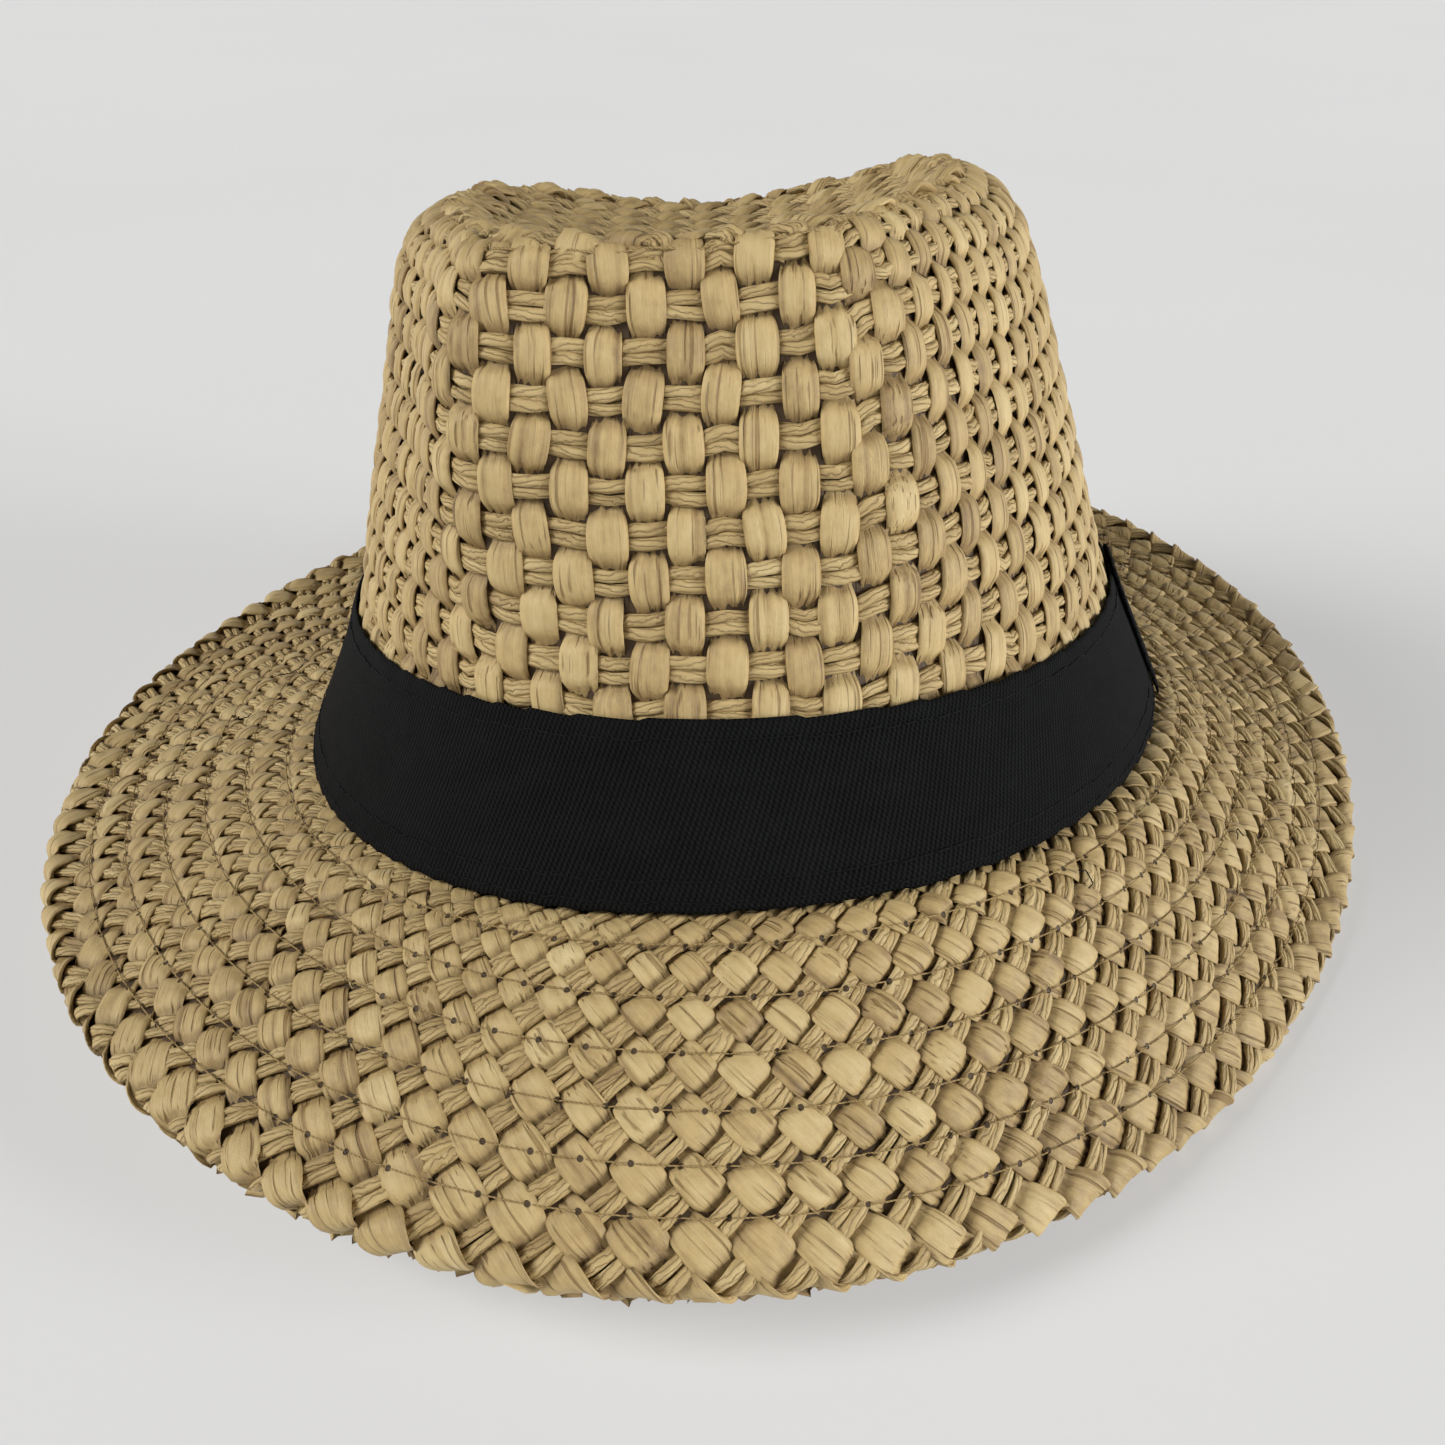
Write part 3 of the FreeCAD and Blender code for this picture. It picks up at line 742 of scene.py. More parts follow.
def tip_field():
    """Heights of the tip and the wall around it on a square grid, and the tip's reach at each turn."""
    tree, wall = tree_of("crown_tip"), tree_of("crown_side")
    points = points_of("crown_tip")
    centre = (points.min(0) + points.max(0)) / 2
    step = 2.0
    half = np.ceil((points.max(0) - points.min(0))[:2].max() / 2 / step) * step + 6
    ticks = np.arange(-half, half + step / 2, step)
    heights = np.full((len(ticks), len(ticks)), np.nan)
    for i, x in enumerate(ticks):
        for j, y in enumerate(ticks):
            spot = (centre[0] + x, centre[1] + y, ABOVE_TIP)
            hits = [cast(surface, spot, DOWN)[0] for surface in (tree, wall)]
            heights[i, j] = max((hit[2] for hit in hits if hit is not None), default=np.nan)
    for _ in range(8):
        spread = np.stack([np.roll(heights, shift, axis) for shift in (1, -1) for axis in (0, 1)])
        known = ~np.isnan(spread)
        filled = np.where(known, spread, 0).sum(0) / np.maximum(known.sum(0), 1)
        heights = np.where(np.isnan(heights) & known.any(0), filled, heights)

    def tip_reach(turn):
        way = np.array([math.cos(turn), math.sin(turn)])
        return last_place(lambda run: cast(tree, (*(centre[:2] + way * run), ABOVE_TIP), DOWN)[0] is not None,
                          0.0, half * 1.5, 22)

    reach = np.array([tip_reach(turn) for turn in np.linspace(0, TURN, 181)[:-1]])
    return centre[:2], ticks, np.nan_to_num(heights, nan=points[:, 2].min()), reach


def build_tip():
    """The tip's two families of strands, at a bias to the front, with their ends turned over the rim."""
    centre, ticks, heights, reach = tip_field()
    step = ticks[1] - ticks[0]
    slopes = np.gradient(heights, step)

    def read(table, x, y):
        i = np.clip((x - ticks[0]) / step, 0, len(ticks) - 1.001)
        j = np.clip((y - ticks[0]) / step, 0, len(ticks) - 1.001)
        a, b = i.astype(int), j.astype(int)
        fi, fj = i - a, j - b
        return ((table[a, b] * (1 - fj) + table[a, b + 1] * fj) * (1 - fi)
                + (table[a + 1, b] * (1 - fj) + table[a + 1, b + 1] * fj) * fi)

    def inside(x, y):
        """Distance inside the outline, measured towards the middle."""
        turn = np.mod(np.arctan2(y, x), TURN)
        edge = np.interp(turn, np.linspace(0, TURN, 181), np.append(reach, reach[0]))
        return edge - np.hypot(x, y)

    def ways(direction):
        """Unit steps along and beside a line on the tip."""
        ahead = np.array([math.sin(direction), math.cos(direction)])
        return ahead, np.array([ahead[1], -ahead[0]])

    def lay(direction, pitch, count, sections):
        """Numbered lines over the tip in one direction, each cut a little outside the outline."""
        ahead, beside = ways(direction)
        lines, numbers = [], []
        for number in range(-count, count + 1):
            runs = np.linspace(-110, 110, 881)
            xy = beside * (number + 0.5) * pitch + runs[:, None] * ahead
            kept = runs[inside(xy[:, 0], xy[:, 1]) > -TIP_OVERLAP]
            if len(kept) > 40:
                run = np.linspace(kept[0], kept[-1], sections)
                lines.append(beside * (number + 0.5) * pitch + run[:, None] * ahead)
                numbers.append(number)
        return np.array(lines), np.array(numbers)[:, None]

    def set_on(xy, offset):
        """Points on the tip's cloth, over its rim and in under the wall, with their normals."""
        x, y = xy[..., 0], xy[..., 1]
        margin = inside(x, y)
        over_rim = smoothstep((1.0 - margin) / 2.5)
        tucked = smoothstep((1.8 - margin - TIP_OVERLAP) / 1.8)
        z = read(heights, x, y) + 0.9 * over_rim - 2.4 * tucked
        normals = unit(np.stack([-read(slopes[0], x, y), -read(slopes[1], x, y), np.ones_like(x)], -1))
        spots = np.stack([x + centre[0], y + centre[1], z], -1)
        return spots + normals * (offset - STRAW / 2)[..., None], normals

    weft_bias = TIP_BIAS + math.pi / 2
    warps, number = lay(TIP_BIAS, WARP_PITCH, 24, 150)
    crossing = (warps @ ways(weft_bias)[1]) / WEFT_PITCH - 0.5
    phase = math.pi * (crossing + number)
    over = weave_shape(phase)
    centres, normals = set_on(warps, over * TIP_RELIEF[0])
    width = np.full(over.shape, WARP_PITCH * 1.02)
    wide = wide_strands("crown_tip_wide_straw", centres, normals, over, phase / TURN, width, WIDE_STRAW)
    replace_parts(wide, "crown_tip")
    wefts, row = lay(weft_bias, WEFT_PITCH, 22, 120)
    crossing = (wefts @ ways(TIP_BIAS)[1]) / WARP_PITCH - 0.5
    over = -weave_shape(math.pi * (crossing + row), 0.85)
    centres, normals = set_on(wefts, over * TIP_RELIEF[1])
    narrow_strands("crown_tip_narrow_straw", centres, normals, over, 1.02, 1.0, NARROW_STRAW)


# ---------------------------------------------------------------- brim

def brim_sections(around, samples):
    """Sections of the brim's outer face: from its inner edge over the top to the fold, and back below."""
    tree = tree_of("brim_straw")

    def seen(spot, way=-1):
        """The brim's point over or under a spot, seen from above, or from below for way 1."""
        return cast(tree, spot - UP * (150 * way), (0, 0, way))[0]

    outs = [heading(turn) for turn in np.linspace(0, TURN, 361)[:-1] - math.pi]
    inner = np.array([(out * last_place(lambda run: seen(out * run) is not None, 115.0, 40.0, 20))[:2]
                      for out in outs])
    kernel = np.hanning(13)[1:-1]
    kernel /= kernel.sum()
    half = len(kernel) // 2
    wrapped = np.concatenate([inner[-half:], inner, inner[:half]])
    inner = np.column_stack([np.convolve(wrapped[:, k], kernel, "valid") for k in (0, 1)])
    inner = spaced(np.concatenate([inner, inner[:1]]), around + 1)[:-1]
    ahead = unit(central(inner))
    outs = np.column_stack([ahead[:, 1], -ahead[:, 0]])
    uppers, lowers = [], []
    for spot, out in zip(inner, outs):
        out, foot = np.array([*out, 0.0]), np.array([*spot, 0.0])
        edge = last_place(lambda run: seen(foot + out * run) is not None, 20.0, 70.0, 20)
        steps = np.linspace(0.4, edge - 3.2, 34)
        upper, lower = ([p for p in (seen(foot + out * step, way) for step in steps) if p is not None]
                        for way in (-1, 1))
        hub = (upper[-1] + lower[-1]) / 2
        slope = unit(hub - (upper[-4] + lower[-4]) / 2)
        square = np.cross(slope, np.cross(UP, slope))
        square = unit(square if square[2] > 0 else -square)
        bead = []
        for turn in np.radians(np.linspace(75, -75, 21)):
            ray = slope * math.cos(turn) + square * math.sin(turn)
            bead.append(cast(tree, hub + ray * 40, -ray, 39.9)[0])
        bead = [point for point in bead if point is not None]
        apex = len(bead) // 2
        uppers.append(spaced(upper + bead[:apex + 1], samples))
        lowers.append(spaced(bead[apex:] + lower[::-1], samples))
    return np.array(uppers), np.array(lowers)


def spiral(skin_points, step_lengths, edge, turn):
    """Places round the brim, from 0 to 1, of strands at 45 degrees that cross the fold at edge."""
    around, samples = skin_points.shape[:2]
    ticks = np.arange(around + 1) / around
    girths = lengths(np.roll(skin_points, -1, 0) - skin_points) * around
    girths = np.concatenate([girths, girths[:1]])
    steps = np.concatenate([step_lengths, step_lengths[:1]])
    apex = samples // 2
    places = np.zeros((len(edge), samples))
    places[:, apex] = edge
    for way in (-1, 1):
        here = edge.copy()
        j = apex
        while 0 <= j + way < samples:
            spot = np.mod(here, 1.0)
            girth = np.interp(spot, ticks, girths[:, j])
            step = np.interp(spot, ticks, steps[:, min(j, j + way)])
            here = here + way * turn * step / girth
            j += way
            places[:, j] = here
    return places


def brim_grid():
    """The brim's sections, their steps, even places on the fold, and the slant distance of each point."""
    around, samples = 432, 64
    upper, lower = brim_sections(around, samples)
    grid = np.concatenate([upper, lower[:, 1:]], 1)
    steps = lengths(np.diff(grid, axis=1))
    apex = samples - 1
    arc = run_along(np.concatenate([grid[:, apex], grid[:1, apex]]))
    even = np.interp(np.arange(around) / around, arc / arc[-1], np.arange(around + 1) / around)
    reach = np.zeros(grid.shape[:2])
    run = np.concatenate([np.zeros((around, 1)), np.cumsum(steps, 1)], 1)
    reach[:, :apex + 1] = run[:, :apex + 1] - BRIM_MARGIN
    reach[:, apex:] = run[:, -1:] - run[:, apex:] - BRIM_MARGIN
    return grid, steps, even, reach


def inverse_places(places, around):
    """For a family of strands, how far each grid place is from its strand's crossing of the fold."""
    count, samples = places.shape
    edge = np.arange(count) / count
    ticks = np.arange(around) / around
    shift = np.zeros((around, samples))
    for j in range(samples):
        line = np.concatenate([places[:, j] - 1, places[:, j], places[:, j] + 1])
        crossing = np.concatenate([edge - 1, edge, edge + 1])
        while line[0] > 0:
            line, crossing = line - 1, crossing - 1
        if line[-1] <= 1:
            line = np.concatenate([line, line[-count:] + 1])
            crossing = np.concatenate([crossing, crossing[-count:] + 1])
        shift[:, j] = np.interp(ticks, line, crossing) - ticks
    return shift


def stitch_marks(u, reach):
    """How far the brim's lockstitch rows pull the straw in, and each point's place among the stitches."""
    sink = sum(np.exp(-((reach - row) / 0.9) ** 2) for row in STITCH_ROWS)
    return 0.50 * sink, np.stack(np.broadcast_arrays(u, reach, 0.0), -1)


def build_brim():
    """The brim's two families of strands, laid at 45 degrees and wrapped over its fold."""
    grid, steps, even, reach = brim_grid()
    around, samples = grid.shape[:2]
    columns = np.arange(samples)
    skin = Skin(grid, columns, outward=-1)
    skin.reach = reach
    girths = lengths(np.roll(grid, -1, 0) - grid).sum(0)
    fields = {turn: spiral(grid, steps, even, turn) for turn in (1, -1)}
    shift = {turn: inverse_places(fields[turn], around) for turn in (1, -1)}
    counts = {1: BRIM_WARPS, -1: BRIM_WEFTS}

    def follow(turn, per_crossing):
        """Paths of one family, cut into sections that are evenly spaced between crossings."""
        count, other = counts[turn], -turn
        lines, crossings = [], []
        for number in range(count):
            x = number / count * around
            i, f = int(x), x - int(x)
            ahead = fields[turn][(i + 1) % around] + (1 if i + 1 == around else 0)
            path = fields[turn][i] * (1 - f) + ahead * f
            crossed = path + skin.read(shift[other][..., None], path, columns)[..., 0]
            lines.append(path)
            crossings.append(counts[other] * crossed)
        sections = int(np.ceil(np.mean([abs(c[-1] - c[0]) for c in crossings]) * per_crossing))
        paths = []
        for path, crossing in zip(lines, crossings):
            rising = crossing * np.sign(crossing[-1] - crossing[0])
            row = np.interp(np.linspace(rising[0], rising[-1], sections), rising, columns)
            paths.append((np.interp(row, columns, path), row, np.interp(row, columns, crossing)))
        return np.array(paths).transpose(1, 0, 2)

    def spacing(turn, u, v):
        """The square distance between neighbouring strands of a family."""
        step = 0.5 / around
        field = [skin.read(shift[turn][..., None], u + way * step, v)[..., 0] for way in (1, -1)]
        rate = 1 + (field[0] - field[1]) / (2 * step)
        girth = lengths(skin.place(u + step, v)[0] - skin.place(u - step, v)[0]) / (2 * step)
        return girth / (rate * counts[turn]) * math.sqrt(0.5)

    def sewing(turn, u, v):
        """How the stitches mark points that lie off a strand's middle, in a family that turns one way."""
        place = skin.read(reach[..., None], u, v)
        below = v > samples // 2
        way = np.where(below, -1, 1)[..., None] * turn * math.sqrt(0.5)
        girth = np.interp(v, columns, girths)[..., None]

        def marks(off):
            return stitch_marks(u[..., None] - off * math.sqrt(0.5) / girth, place + off * way)
        return marks

    def fold_press(u, v):
        """How far the relief opens out from the pressed fold at the brim's edge."""
        inward = reach.max() - skin.read(reach[..., None], u, v)[..., 0]
        return 0.55 + 0.45 * smoothstep(inward / 5.0)

    u, v, phase = follow(1, 8)
    number = np.arange(BRIM_WARPS)[:, None]
    over = weave_shape(math.pi * (phase + number), 0.55)
    pitch = spacing(1, u, v)
    tight = np.clip(pitch / 5.0, 0.5, 1.0) * fold_press(u, v)
    spots, normals = skin.place(u, v)
    centres = spots + normals * (over * BRIM_RELIEF[0] * tight - BRIM_PLY / 2)[..., None]
    pieces = [wide_strands(f"brim_wide_straw_{k + 1}", centres[part], normals[part], over[part],
                           math.pi * (phase[part] + number[part]) / TURN, pitch[part] * 1.13,
                           WIDE_SEWN_STRAW, rise=0.46, square=6.0, uneven=1.9,
                           sewn=sewing(1, u[part], v[part]))
              for k, part in enumerate(shares(BRIM_WARPS, 4))]
    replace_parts(pieces[0], "brim_straw")
    u, v, phase = follow(-1, 6)
    number = np.arange(BRIM_WEFTS)[:, None]
    over = -weave_shape(math.pi * (phase + number), 0.85)
    pitch = spacing(-1, u, v)
    spots, normals = skin.place(u, v)
    centres = spots + normals * (over * BRIM_RELIEF[1] * fold_press(u, v) - BRIM_PLY / 2 - 0.08)[..., None]
    spread = np.clip(pitch / WEFT_PITCH, 0.45, 1.1)
    for k, part in enumerate(shares(BRIM_WEFTS, 4)):
        narrow_strands(f"brim_narrow_straw_{k + 1}", centres[part], normals[part], over[part],
                       spread[part] * 0.98, 0.96, NARROW_SEWN_STRAW, sewn=sewing(-1, u[part], v[part]))
    # A dark layer of painted shade in the gaps between the brim's strands.
    gap_shade_layer("brim_gap_shade_layer", skin, samples - 1, BRIM_PLY / 2 + 0.45)
    return skin


# ---------------------------------------------------------------- sewing threads

THREAD_ROUND = 6
THREAD_ANGLE = TURN * np.arange(THREAD_ROUND) / THREAD_ROUND
INTO_STITCH = np.array([0.0, 0.05, 0.10, 0.17, 0.34, 0.5, 0.66, 0.83, 0.90, 0.95])


def thread_rings(line, ahead, ups, radius):
    sides = unit(np.cross(ahead, ups))
    angle = THREAD_ANGLE[:, None]
    return line[:, None] + radius * (np.cos(angle) * sides[:, None] + np.sin(angle) * ups[:, None])


def stitch_row(points, normals, count, top, dip, radius, closed=True):
    """One row of stitches along evenly spaced points: each rises from its needle hole and lies flat."""
    if closed:
        points, normals = (np.concatenate([rows, rows[:1]]) for rows in (points, normals))
    ticks = np.linspace(0, 1, len(points))
    places = ((np.arange(count)[:, None] + INTO_STITCH) / count).ravel()
    where = np.mod(places + 0.5 / count, 1.0) if closed else places
    into = np.tile(INTO_STITCH, count)
    centres, ups = read_line(where, ticks, points), unit(read_line(where, ticks, normals))
    slack = np.repeat(RANDOM.normal(0, 0.05, count), len(INTO_STITCH))
    rise = dip + (top - dip + slack) * smoothstep(np.minimum(into, 1 - into) / 0.15)
    centres = centres + ups * rise[:, None]
    ahead = central(centres) if closed else np.gradient(centres, axis=0)
    rings = thread_rings(centres, ahead, ups, radius)
    run = np.cumsum(lengths(ahead)) / 2
    facts = np.stack(np.broadcast_arrays(run[:, None], THREAD_ANGLE * radius, 0.0), -1)
    return rings, facts, closed


def thread_piece(name, rows, material, slot):
    """Rows of stitches as one piece."""
    faces, first = [], 0
    for rings, _, closed in rows:
        faces += [part + first for part in tube_faces(1, len(rings), THREAD_ROUND, closed)]
        first += len(rings) * THREAD_ROUND
    points, facts = (np.concatenate([row[k].reshape(-1, 3) for row in rows]) for k in (0, 1))
    return mesh_piece(name, points, faces, material, slot, facts)


def brim_line(skin, reach, below=False):
    """A ring on the brim at a slant distance from the crown, above or below."""
    apex = int(np.argmax(skin.reach[0]))
    columns = np.arange(skin.reach.shape[1])
    turns = np.arange(len(skin.reach)) / len(skin.reach)
    part = slice(None, apex - 1, -1) if below else slice(0, apex + 1)
    rows = [np.interp(reach, line[part], columns[part]) for line in skin.reach]
    return skin.place(turns, np.array(rows))


def build_brim_stitches(skin):
    pieces = []
    for name, below in (("brim_stitches_upper", False), ("brim_stitches_lower", True)):
        rows = [stitch_row(*brim_line(skin, row, below), stitch_count(row), 0.18, -0.9, 0.12)
                for row in STITCH_ROWS]
        pieces.append(thread_piece(name, rows, THREAD_TAN, "straw_thread"))
    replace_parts(pieces[0], "brim_stitching")


def build_seams(wall, brim):
    """The crown's three seams: round the tip, up the back, and round the brim's inner edge."""
    around = np.arange(360) / 360
    spots, normals = wall.place(around, np.full(360, WALL_ROWS - 0.3))
    girth = lengths(np.roll(spots, -1, 0) - spots).sum()
    row = stitch_row(spots, normals, round(girth / 4.5), 0.1, -1.2, 0.2)
    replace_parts(thread_piece("crown_tip_seam", [row], THREAD_TAN, "straw_thread"), "crown_tip_thread")
    up = np.linspace(2.4, WALL_ROWS - 0.4, 80)
    spots, normals = wall.place(np.zeros(80), up)
    row = stitch_row(spots, normals, 17, 0.35, -1.2, 0.2, closed=False)
    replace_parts(thread_piece("crown_back_seam", [row], THREAD_TAN, "straw_thread"), "crown_back_thread")
    row = stitch_row(*brim_line(brim, -1.6, below=True), 120, 0.3, -0.9, 0.2)
    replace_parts(thread_piece("crown_brim_seam", [row], THREAD_TAN, "straw_thread"), "crown_brim_thread")


# ---------------------------------------------------------------- ribbon, sweatband and other strips


def middle_turn(node):
    """The turn of a short strip's middle, measured from the front."""
    points = points_of(node)
    turns = np.arctan2(points[:, 0], -points[:, 1])
    return math.atan2(np.sin(turns).mean(), np.cos(turns).mean())


def strip_face(node, inside):
    """Gives a strip's point at a turn and a height, seen from outside or inside the hat, or None."""
    tree = tree_of(node)

    def face(turn, height):
        level, foot = heading(turn), UP * height
        if inside:
            return cast(tree, foot, level)[0]
        return cast(tree, foot + level * CLEAR_OF_HAT, -level, CLEAR_OF_HAT - 1)[0]
    return face


def patch_grid(node, count, samples, inside=False):
    """A short strip's visible face, from edge to edge and from bottom to top."""
    face, middle, heights = strip_face(node, inside), middle_turn(node), points_of(node)[:, 2]

    def ends_at(height):
        return [middle + way * last_place(lambda turn: face(middle + way * turn, height) is not None,
                                          0.0, 0.6, 16) for way in (-1, 1)]

    levels = [h for h in np.arange(heights.min(), heights.max(), 0.2) if face(middle, h) is not None]
    spans = np.array([np.ptp(ends_at(h)) for h in levels])
    full = np.array(levels)[spans > 0.9 * np.median(spans)]
    rows = [[face(turn, height) for turn in np.linspace(*ends_at(height), count)]
            for height in np.linspace(full[0], full[-1], samples)]
    return np.array(rows).transpose(1, 0, 2)


def strip_grid(node, turns, samples, inside=False):
    """A long strip's visible face as [turn, height] points; turns that it doesn't reach are left out."""
    face, heights = strip_face(node, inside), points_of(node)[:, 2]
    lines = []
    for turn in turns:
        line = [face(turn, height) for height in np.arange(heights.min() + 0.02, heights.max(), 0.5)]
        line = [point for point in line if point is not None]
        if len(line) > 1:
            lines.append(spaced(line, samples))
    return np.array(lines)


def tape(name, node, grid, material, slot, thickness=0.6, closed=False, inside=False, ripple=0.1):
    """A woven strip with rounded selvedges and a little ripple, in place of its CAD node."""
    if inside:
        grid = grid[:, ::-1]
    count, samples = grid.shape[:2]
    around = central(grid) if closed else np.gradient(grid, axis=0)
    normals = unit(np.cross(around, np.gradient(grid, axis=1)))
    wave = drift(2, count, max(count // 14, 3), ripple)
    if closed:
        wave = wave * np.sin(np.linspace(0, math.pi, count)) ** 0.3
    share = np.linspace(0, 1, samples)
    lift = (wave[0][:, None] * (1 - share) + wave[1][:, None] * share) * np.sin(share * 6.0) ** 2
    out = np.abs(2 * share - 1)
    edge = out ** 24 * 0.25 - 0.10 * np.exp(-((out - 0.93) / 0.03) ** 2)
    face = grid + normals * (lift - edge)[..., None]
    back = grid + normals * (lift - thickness + 0.1 * out ** 24)[..., None]
    rings = np.concatenate([face, back[:, ::-1]], 1)
    middle = grid[:, samples // 2]
    run = run_along(middle)
    width = lengths(np.diff(grid, axis=1)).sum(1).mean()
    across = np.concatenate([share, share[::-1]]) * width
    facts = np.stack(np.broadcast_arrays(run[:, None], across, 0.0), -1)
    piece = mesh_piece(name, rings, tube_faces(1, count, 2 * samples, closed), material, slot, facts)
    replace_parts(piece, node)
    return grid, normals


def build_ribbon():
    """The band round the crown, its stitched rows, and the keeper over its ends."""
    meet = middle_turn("band_keeper")
    turns = meet + np.linspace(0.009, TURN - 0.009, 420)
    grid = strip_grid("hat_band", turns, 40)
    grid, normals = tape("band_ribbon", "hat_band", grid, RIBBON_BLACK, "ribbon")
    rows = []
    clear = int(np.searchsorted(turns - meet, KEEPER_CLEAR))
    samples = grid.shape[1]
    for row in RIBBON_ROWS:
        place = (row + 0.4) / RIBBON_WIDTH * (samples - 1)
        j, f = int(place), place % 1
        line = (grid[:, j] * (1 - f) + grid[:, j + 1] * f)[clear:-clear]
        count = round(run_along(line)[-1] / 3.0)
        rows.append(stitch_row(line, normals[clear:-clear, j], count, 0.06, -0.35, 0.14, closed=False))
    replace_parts(thread_piece("band_stitches", rows, THREAD_BLACK, "ribbon_thread"), "band_stitching")
    tape("band_keeper_ribbon", "band_keeper", patch_grid("band_keeper", 21, 44), RIBBON_BLACK, "ribbon")


def build_lining():
    """The sweatband with its stitched edges, its join, the blank label, and the tape over the tip's seam."""
    turns = np.linspace(0, TURN, 361)[:-1]
    grid = strip_grid("sweatband", turns, 40, inside=True)
    grid, normals = tape("sweatband_cloth", "sweatband", grid, SWEAT_BLACK, "sweatband", closed=True,
                         inside=True)
    last = grid.shape[1] - 1
    rows = [stitch_row(grid[:, j], normals[:, j], 180, 0.2, -0.3, 0.18) for j in (2, last - 2)]
    stitches = thread_piece("sweatband_stitches", rows, THREAD_BLACK, "ribbon_thread")
    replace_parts(stitches, "sweatband_stitching")
    for name, node, material, slot in (
            ("sweatband_join_strip", "sweatband_join", SWEAT_BLACK, "sweatband"),
            ("size_label_cloth", "size_label", LABEL_PALE, "label")):
        grid = patch_grid(node, 15, 24, inside=True)
        tape(name, node, grid, material, slot, thickness=0.3, inside=True, ripple=0.03)
    grid = strip_grid("crown_tip_tape", turns, 14, inside=True)
    tape("crown_tip_tape_cloth", "crown_tip_tape", grid, TAPE_BROWN, "binding", thickness=0.4, closed=True,
         inside=True)


def finish_hidden_parts():
    """What lies between the brim's plies keeps its CAD shape."""
    for node, material in (("brim_interlining", INTERLINING_TAN), ("brim_wire", WIRE_STEEL),
                           ("brim_wire_ferrule", WIRE_STEEL)):
        slots = frame["nodes"][node].data.materials
        slots.clear()
        slots.append(material)


def build_fibres(skin):
    """A few black fibres that have come off the ribbon and cling to the brim's straw."""
    strands = []
    for turn, reach, length, heading in FIBRES:
        run = np.linspace(-0.5, 0.5, 15)
        bend = math.radians(heading) + run * RANDOM.uniform(0.8, 1.6)
        place = (math.radians(turn) + math.pi) / TURN + run * length * np.cos(bend) / 620.0
        spots = [brim_line(skin, reach + r * length * math.sin(b)) for r, b in zip(run, bend)]
        count = len(skin.reach)
        index = (place * count).astype(int) % count
        line = np.array([spot[0][i] + spot[1][i] * 0.9 for spot, i in zip(spots, index)])
        normal = np.array([spot[1][i] for spot, i in zip(spots, index)])
        line = spaced(line, 15)
        rings = thread_rings(line, np.gradient(line, axis=0), normal, 0.11)
        strands.append((rings, np.zeros(rings.shape), False))
    thread_piece("ribbon_fibres", strands, THREAD_BLACK, "ribbon_thread")


# ---------------------------------------------------------------- stage, light and camera

def build_stage():
    """A pale floor under the hat."""
    mesh = bpy.data.meshes.new("floor")
    half = 6.0
    mesh.from_pydata([(-half, -half, 0), (half, -half, 0), (half, half, 0), (-half, half, 0)], [],
                     [(0, 1, 2, 3)])
    floor = bpy.data.objects.new("floor", mesh)
    bpy.context.scene.collection.objects.link(floor)
    n = Nodes("floor_pale")
    place = n.add("ShaderNodeTexCoord").outputs["Object"]
    grain = n.noise(place, 3.0, 2.0)
    colour = n.ramp(grain, ((0.3, (0.395, 0.395, 0.395)), (0.7, (0.405, 0.405, 0.405))))
    n.feed(n.shader.inputs["Emission Color"], colour)
    mesh.materials.append(n.finish(colour, 0.9, None, Specular_IOR_Level=0.1, Emission_Strength=0.96))


# Far, wide lamps: name, turn from the front and rise in degrees, width in degrees, power and colour
LAMPS = (("left", -74, 34, 30, 2.7, (1.0, 0.99, 0.97)),
         ("right", 74, 13, 30, 3.1, (1.0, 1.0, 1.0)),
         ("front", 0, 40, 40, 0.15, (1.0, 1.0, 1.0)))


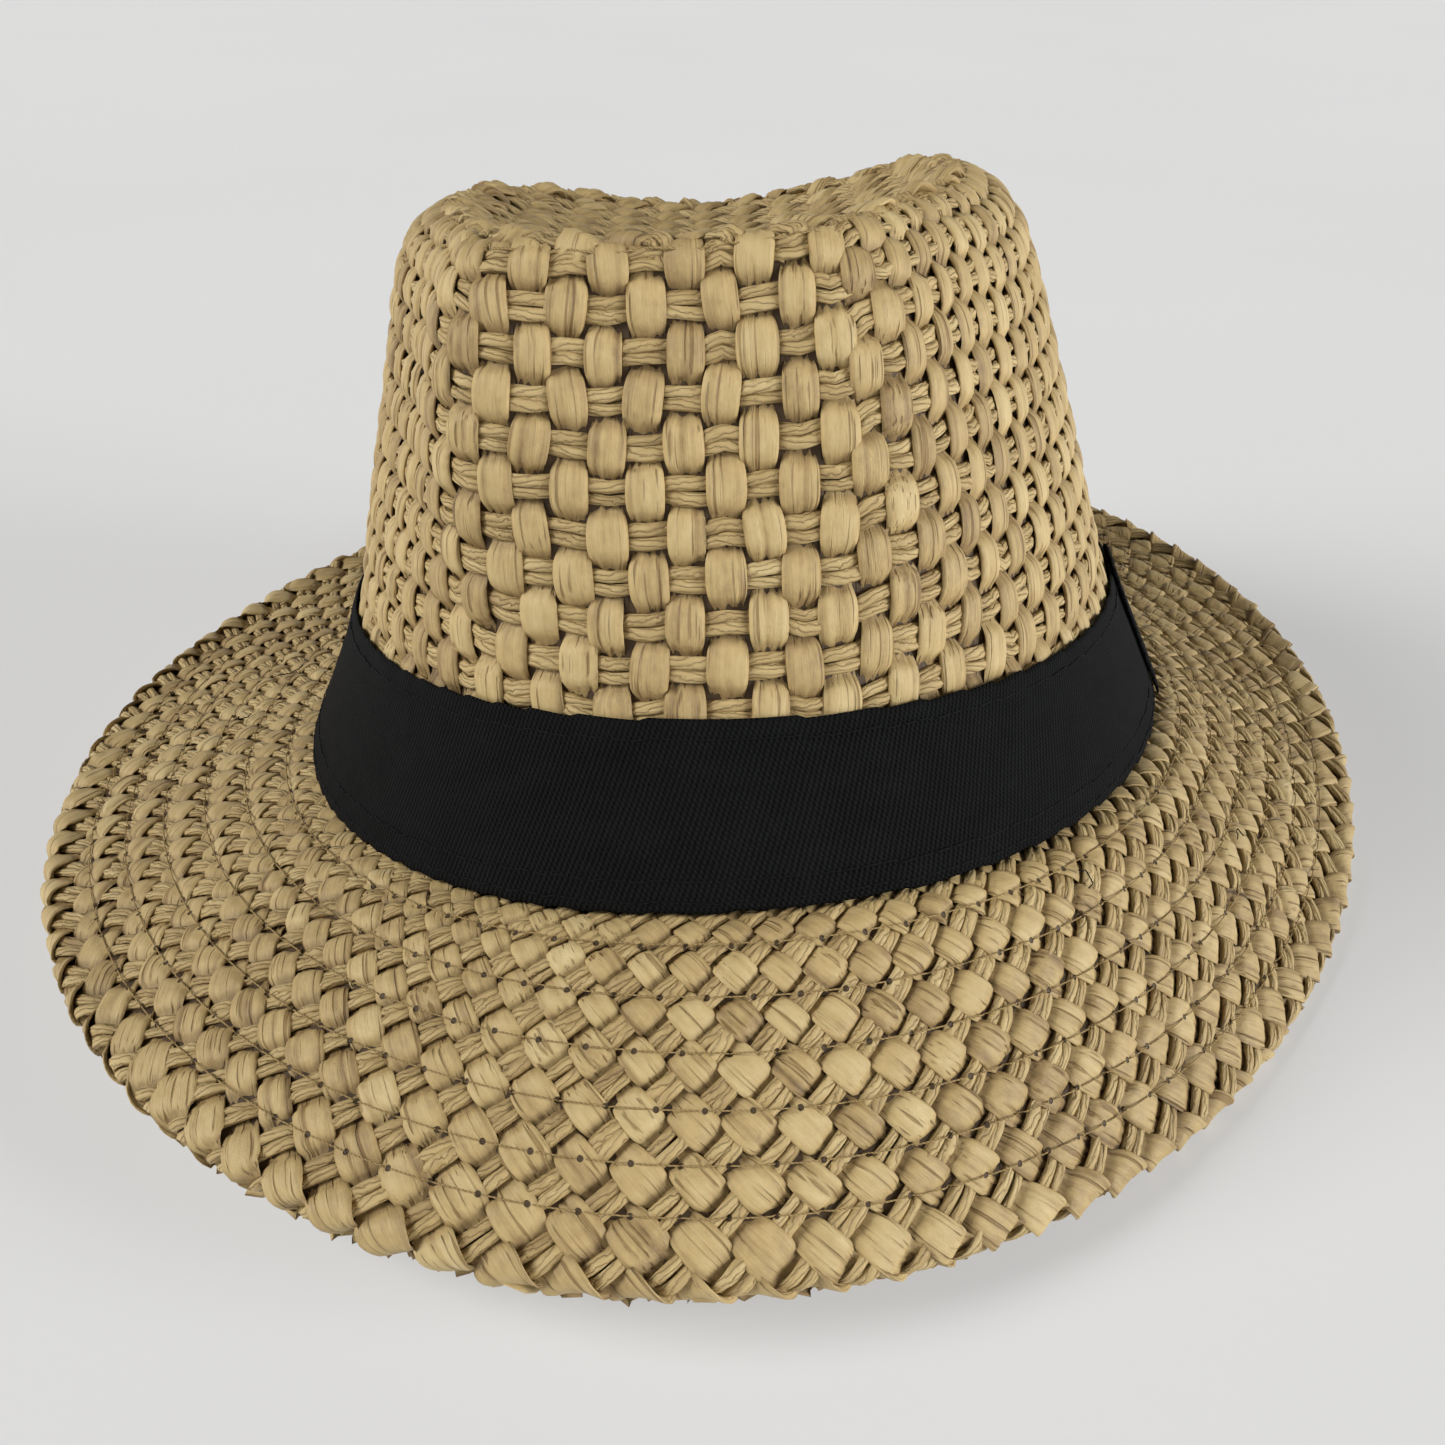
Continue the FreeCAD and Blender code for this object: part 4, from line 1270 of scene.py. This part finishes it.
def build_lights():
    """A pale horizon under a dark sky, and the lamps."""
    world = bpy.data.worlds.new("studio")
    world.use_nodes = True
    nodes, links = world.node_tree.nodes, world.node_tree.links
    place = nodes.new("ShaderNodeTexCoord")
    height = nodes.new("ShaderNodeSeparateXYZ")
    ramp = nodes.new("ShaderNodeValToRGB")
    for element, (rise, level) in zip(ramp.color_ramp.elements, ((0.0, 0.72), (0.55, 0.03))):
        element.position = rise
        element.color = (level, level, level, 1)
    ramp.color_ramp.interpolation = "EASE"
    links.new(place.outputs["Generated"], height.inputs[0])
    links.new(height.outputs["Z"], ramp.inputs["Fac"])
    links.new(ramp.outputs["Color"], nodes["Background"].inputs["Color"])
    bpy.context.scene.world = world
    for name, turn, rise, width, power, colour in LAMPS:
        light = bpy.data.lights.new(name, "SUN")
        light.angle = math.radians(width)
        light.energy = power
        light.color = colour
        lamp = bpy.data.objects.new(name, light)
        away = Vector(-heading(math.radians(turn), math.radians(rise)))
        lamp.rotation_euler = away.to_track_quat("-Z", "Y").to_euler()
        bpy.context.scene.collection.objects.link(lamp)
    bpy.context.scene.view_settings.view_transform = "Standard"


CAMERA_DISTANCE = 0.3511
CAMERA_ELEVATION = math.radians(21.72)
CAMERA_YAW = math.radians(2.27)
CAMERA_ROLL = math.radians(-1.22)
CAMERA_LENS = 42.17
CAMERA_SHIFT = (-0.0068, -0.030)


def build_camera():
    """A close camera, set by its distance and angles from the head frame's origin."""
    back = heading(CAMERA_YAW, CAMERA_ELEVATION)
    right = unit(np.cross(UP, back))
    above = np.cross(back, right)
    right, above = (right * math.cos(CAMERA_ROLL) + above * math.sin(CAMERA_ROLL),
                    above * math.cos(CAMERA_ROLL) - right * math.sin(CAMERA_ROLL))
    turned = AXES @ np.column_stack([right, above, back])
    place = ORIGIN + AXES @ back * CAMERA_DISTANCE
    matrix = Matrix([[*turned[row], place[row]] for row in range(3)] + [[0, 0, 0, 1]])
    camera = bpy.data.objects.new("camera", bpy.data.cameras.new("camera"))
    camera.data.lens = CAMERA_LENS
    camera.data.shift_x, camera.data.shift_y = CAMERA_SHIFT
    camera.data.clip_start = 0.01
    camera.matrix_world = matrix
    bpy.context.scene.collection.objects.link(camera)
    bpy.context.scene.camera = camera


build_camera()
build_stage()
build_lights()
wall_skin = build_crown()
build_tip()
brim_skin = build_brim()
build_brim_stitches(brim_skin)
build_seams(wall_skin, brim_skin)
build_ribbon()
build_lining()
finish_hidden_parts()
build_fibres(brim_skin)
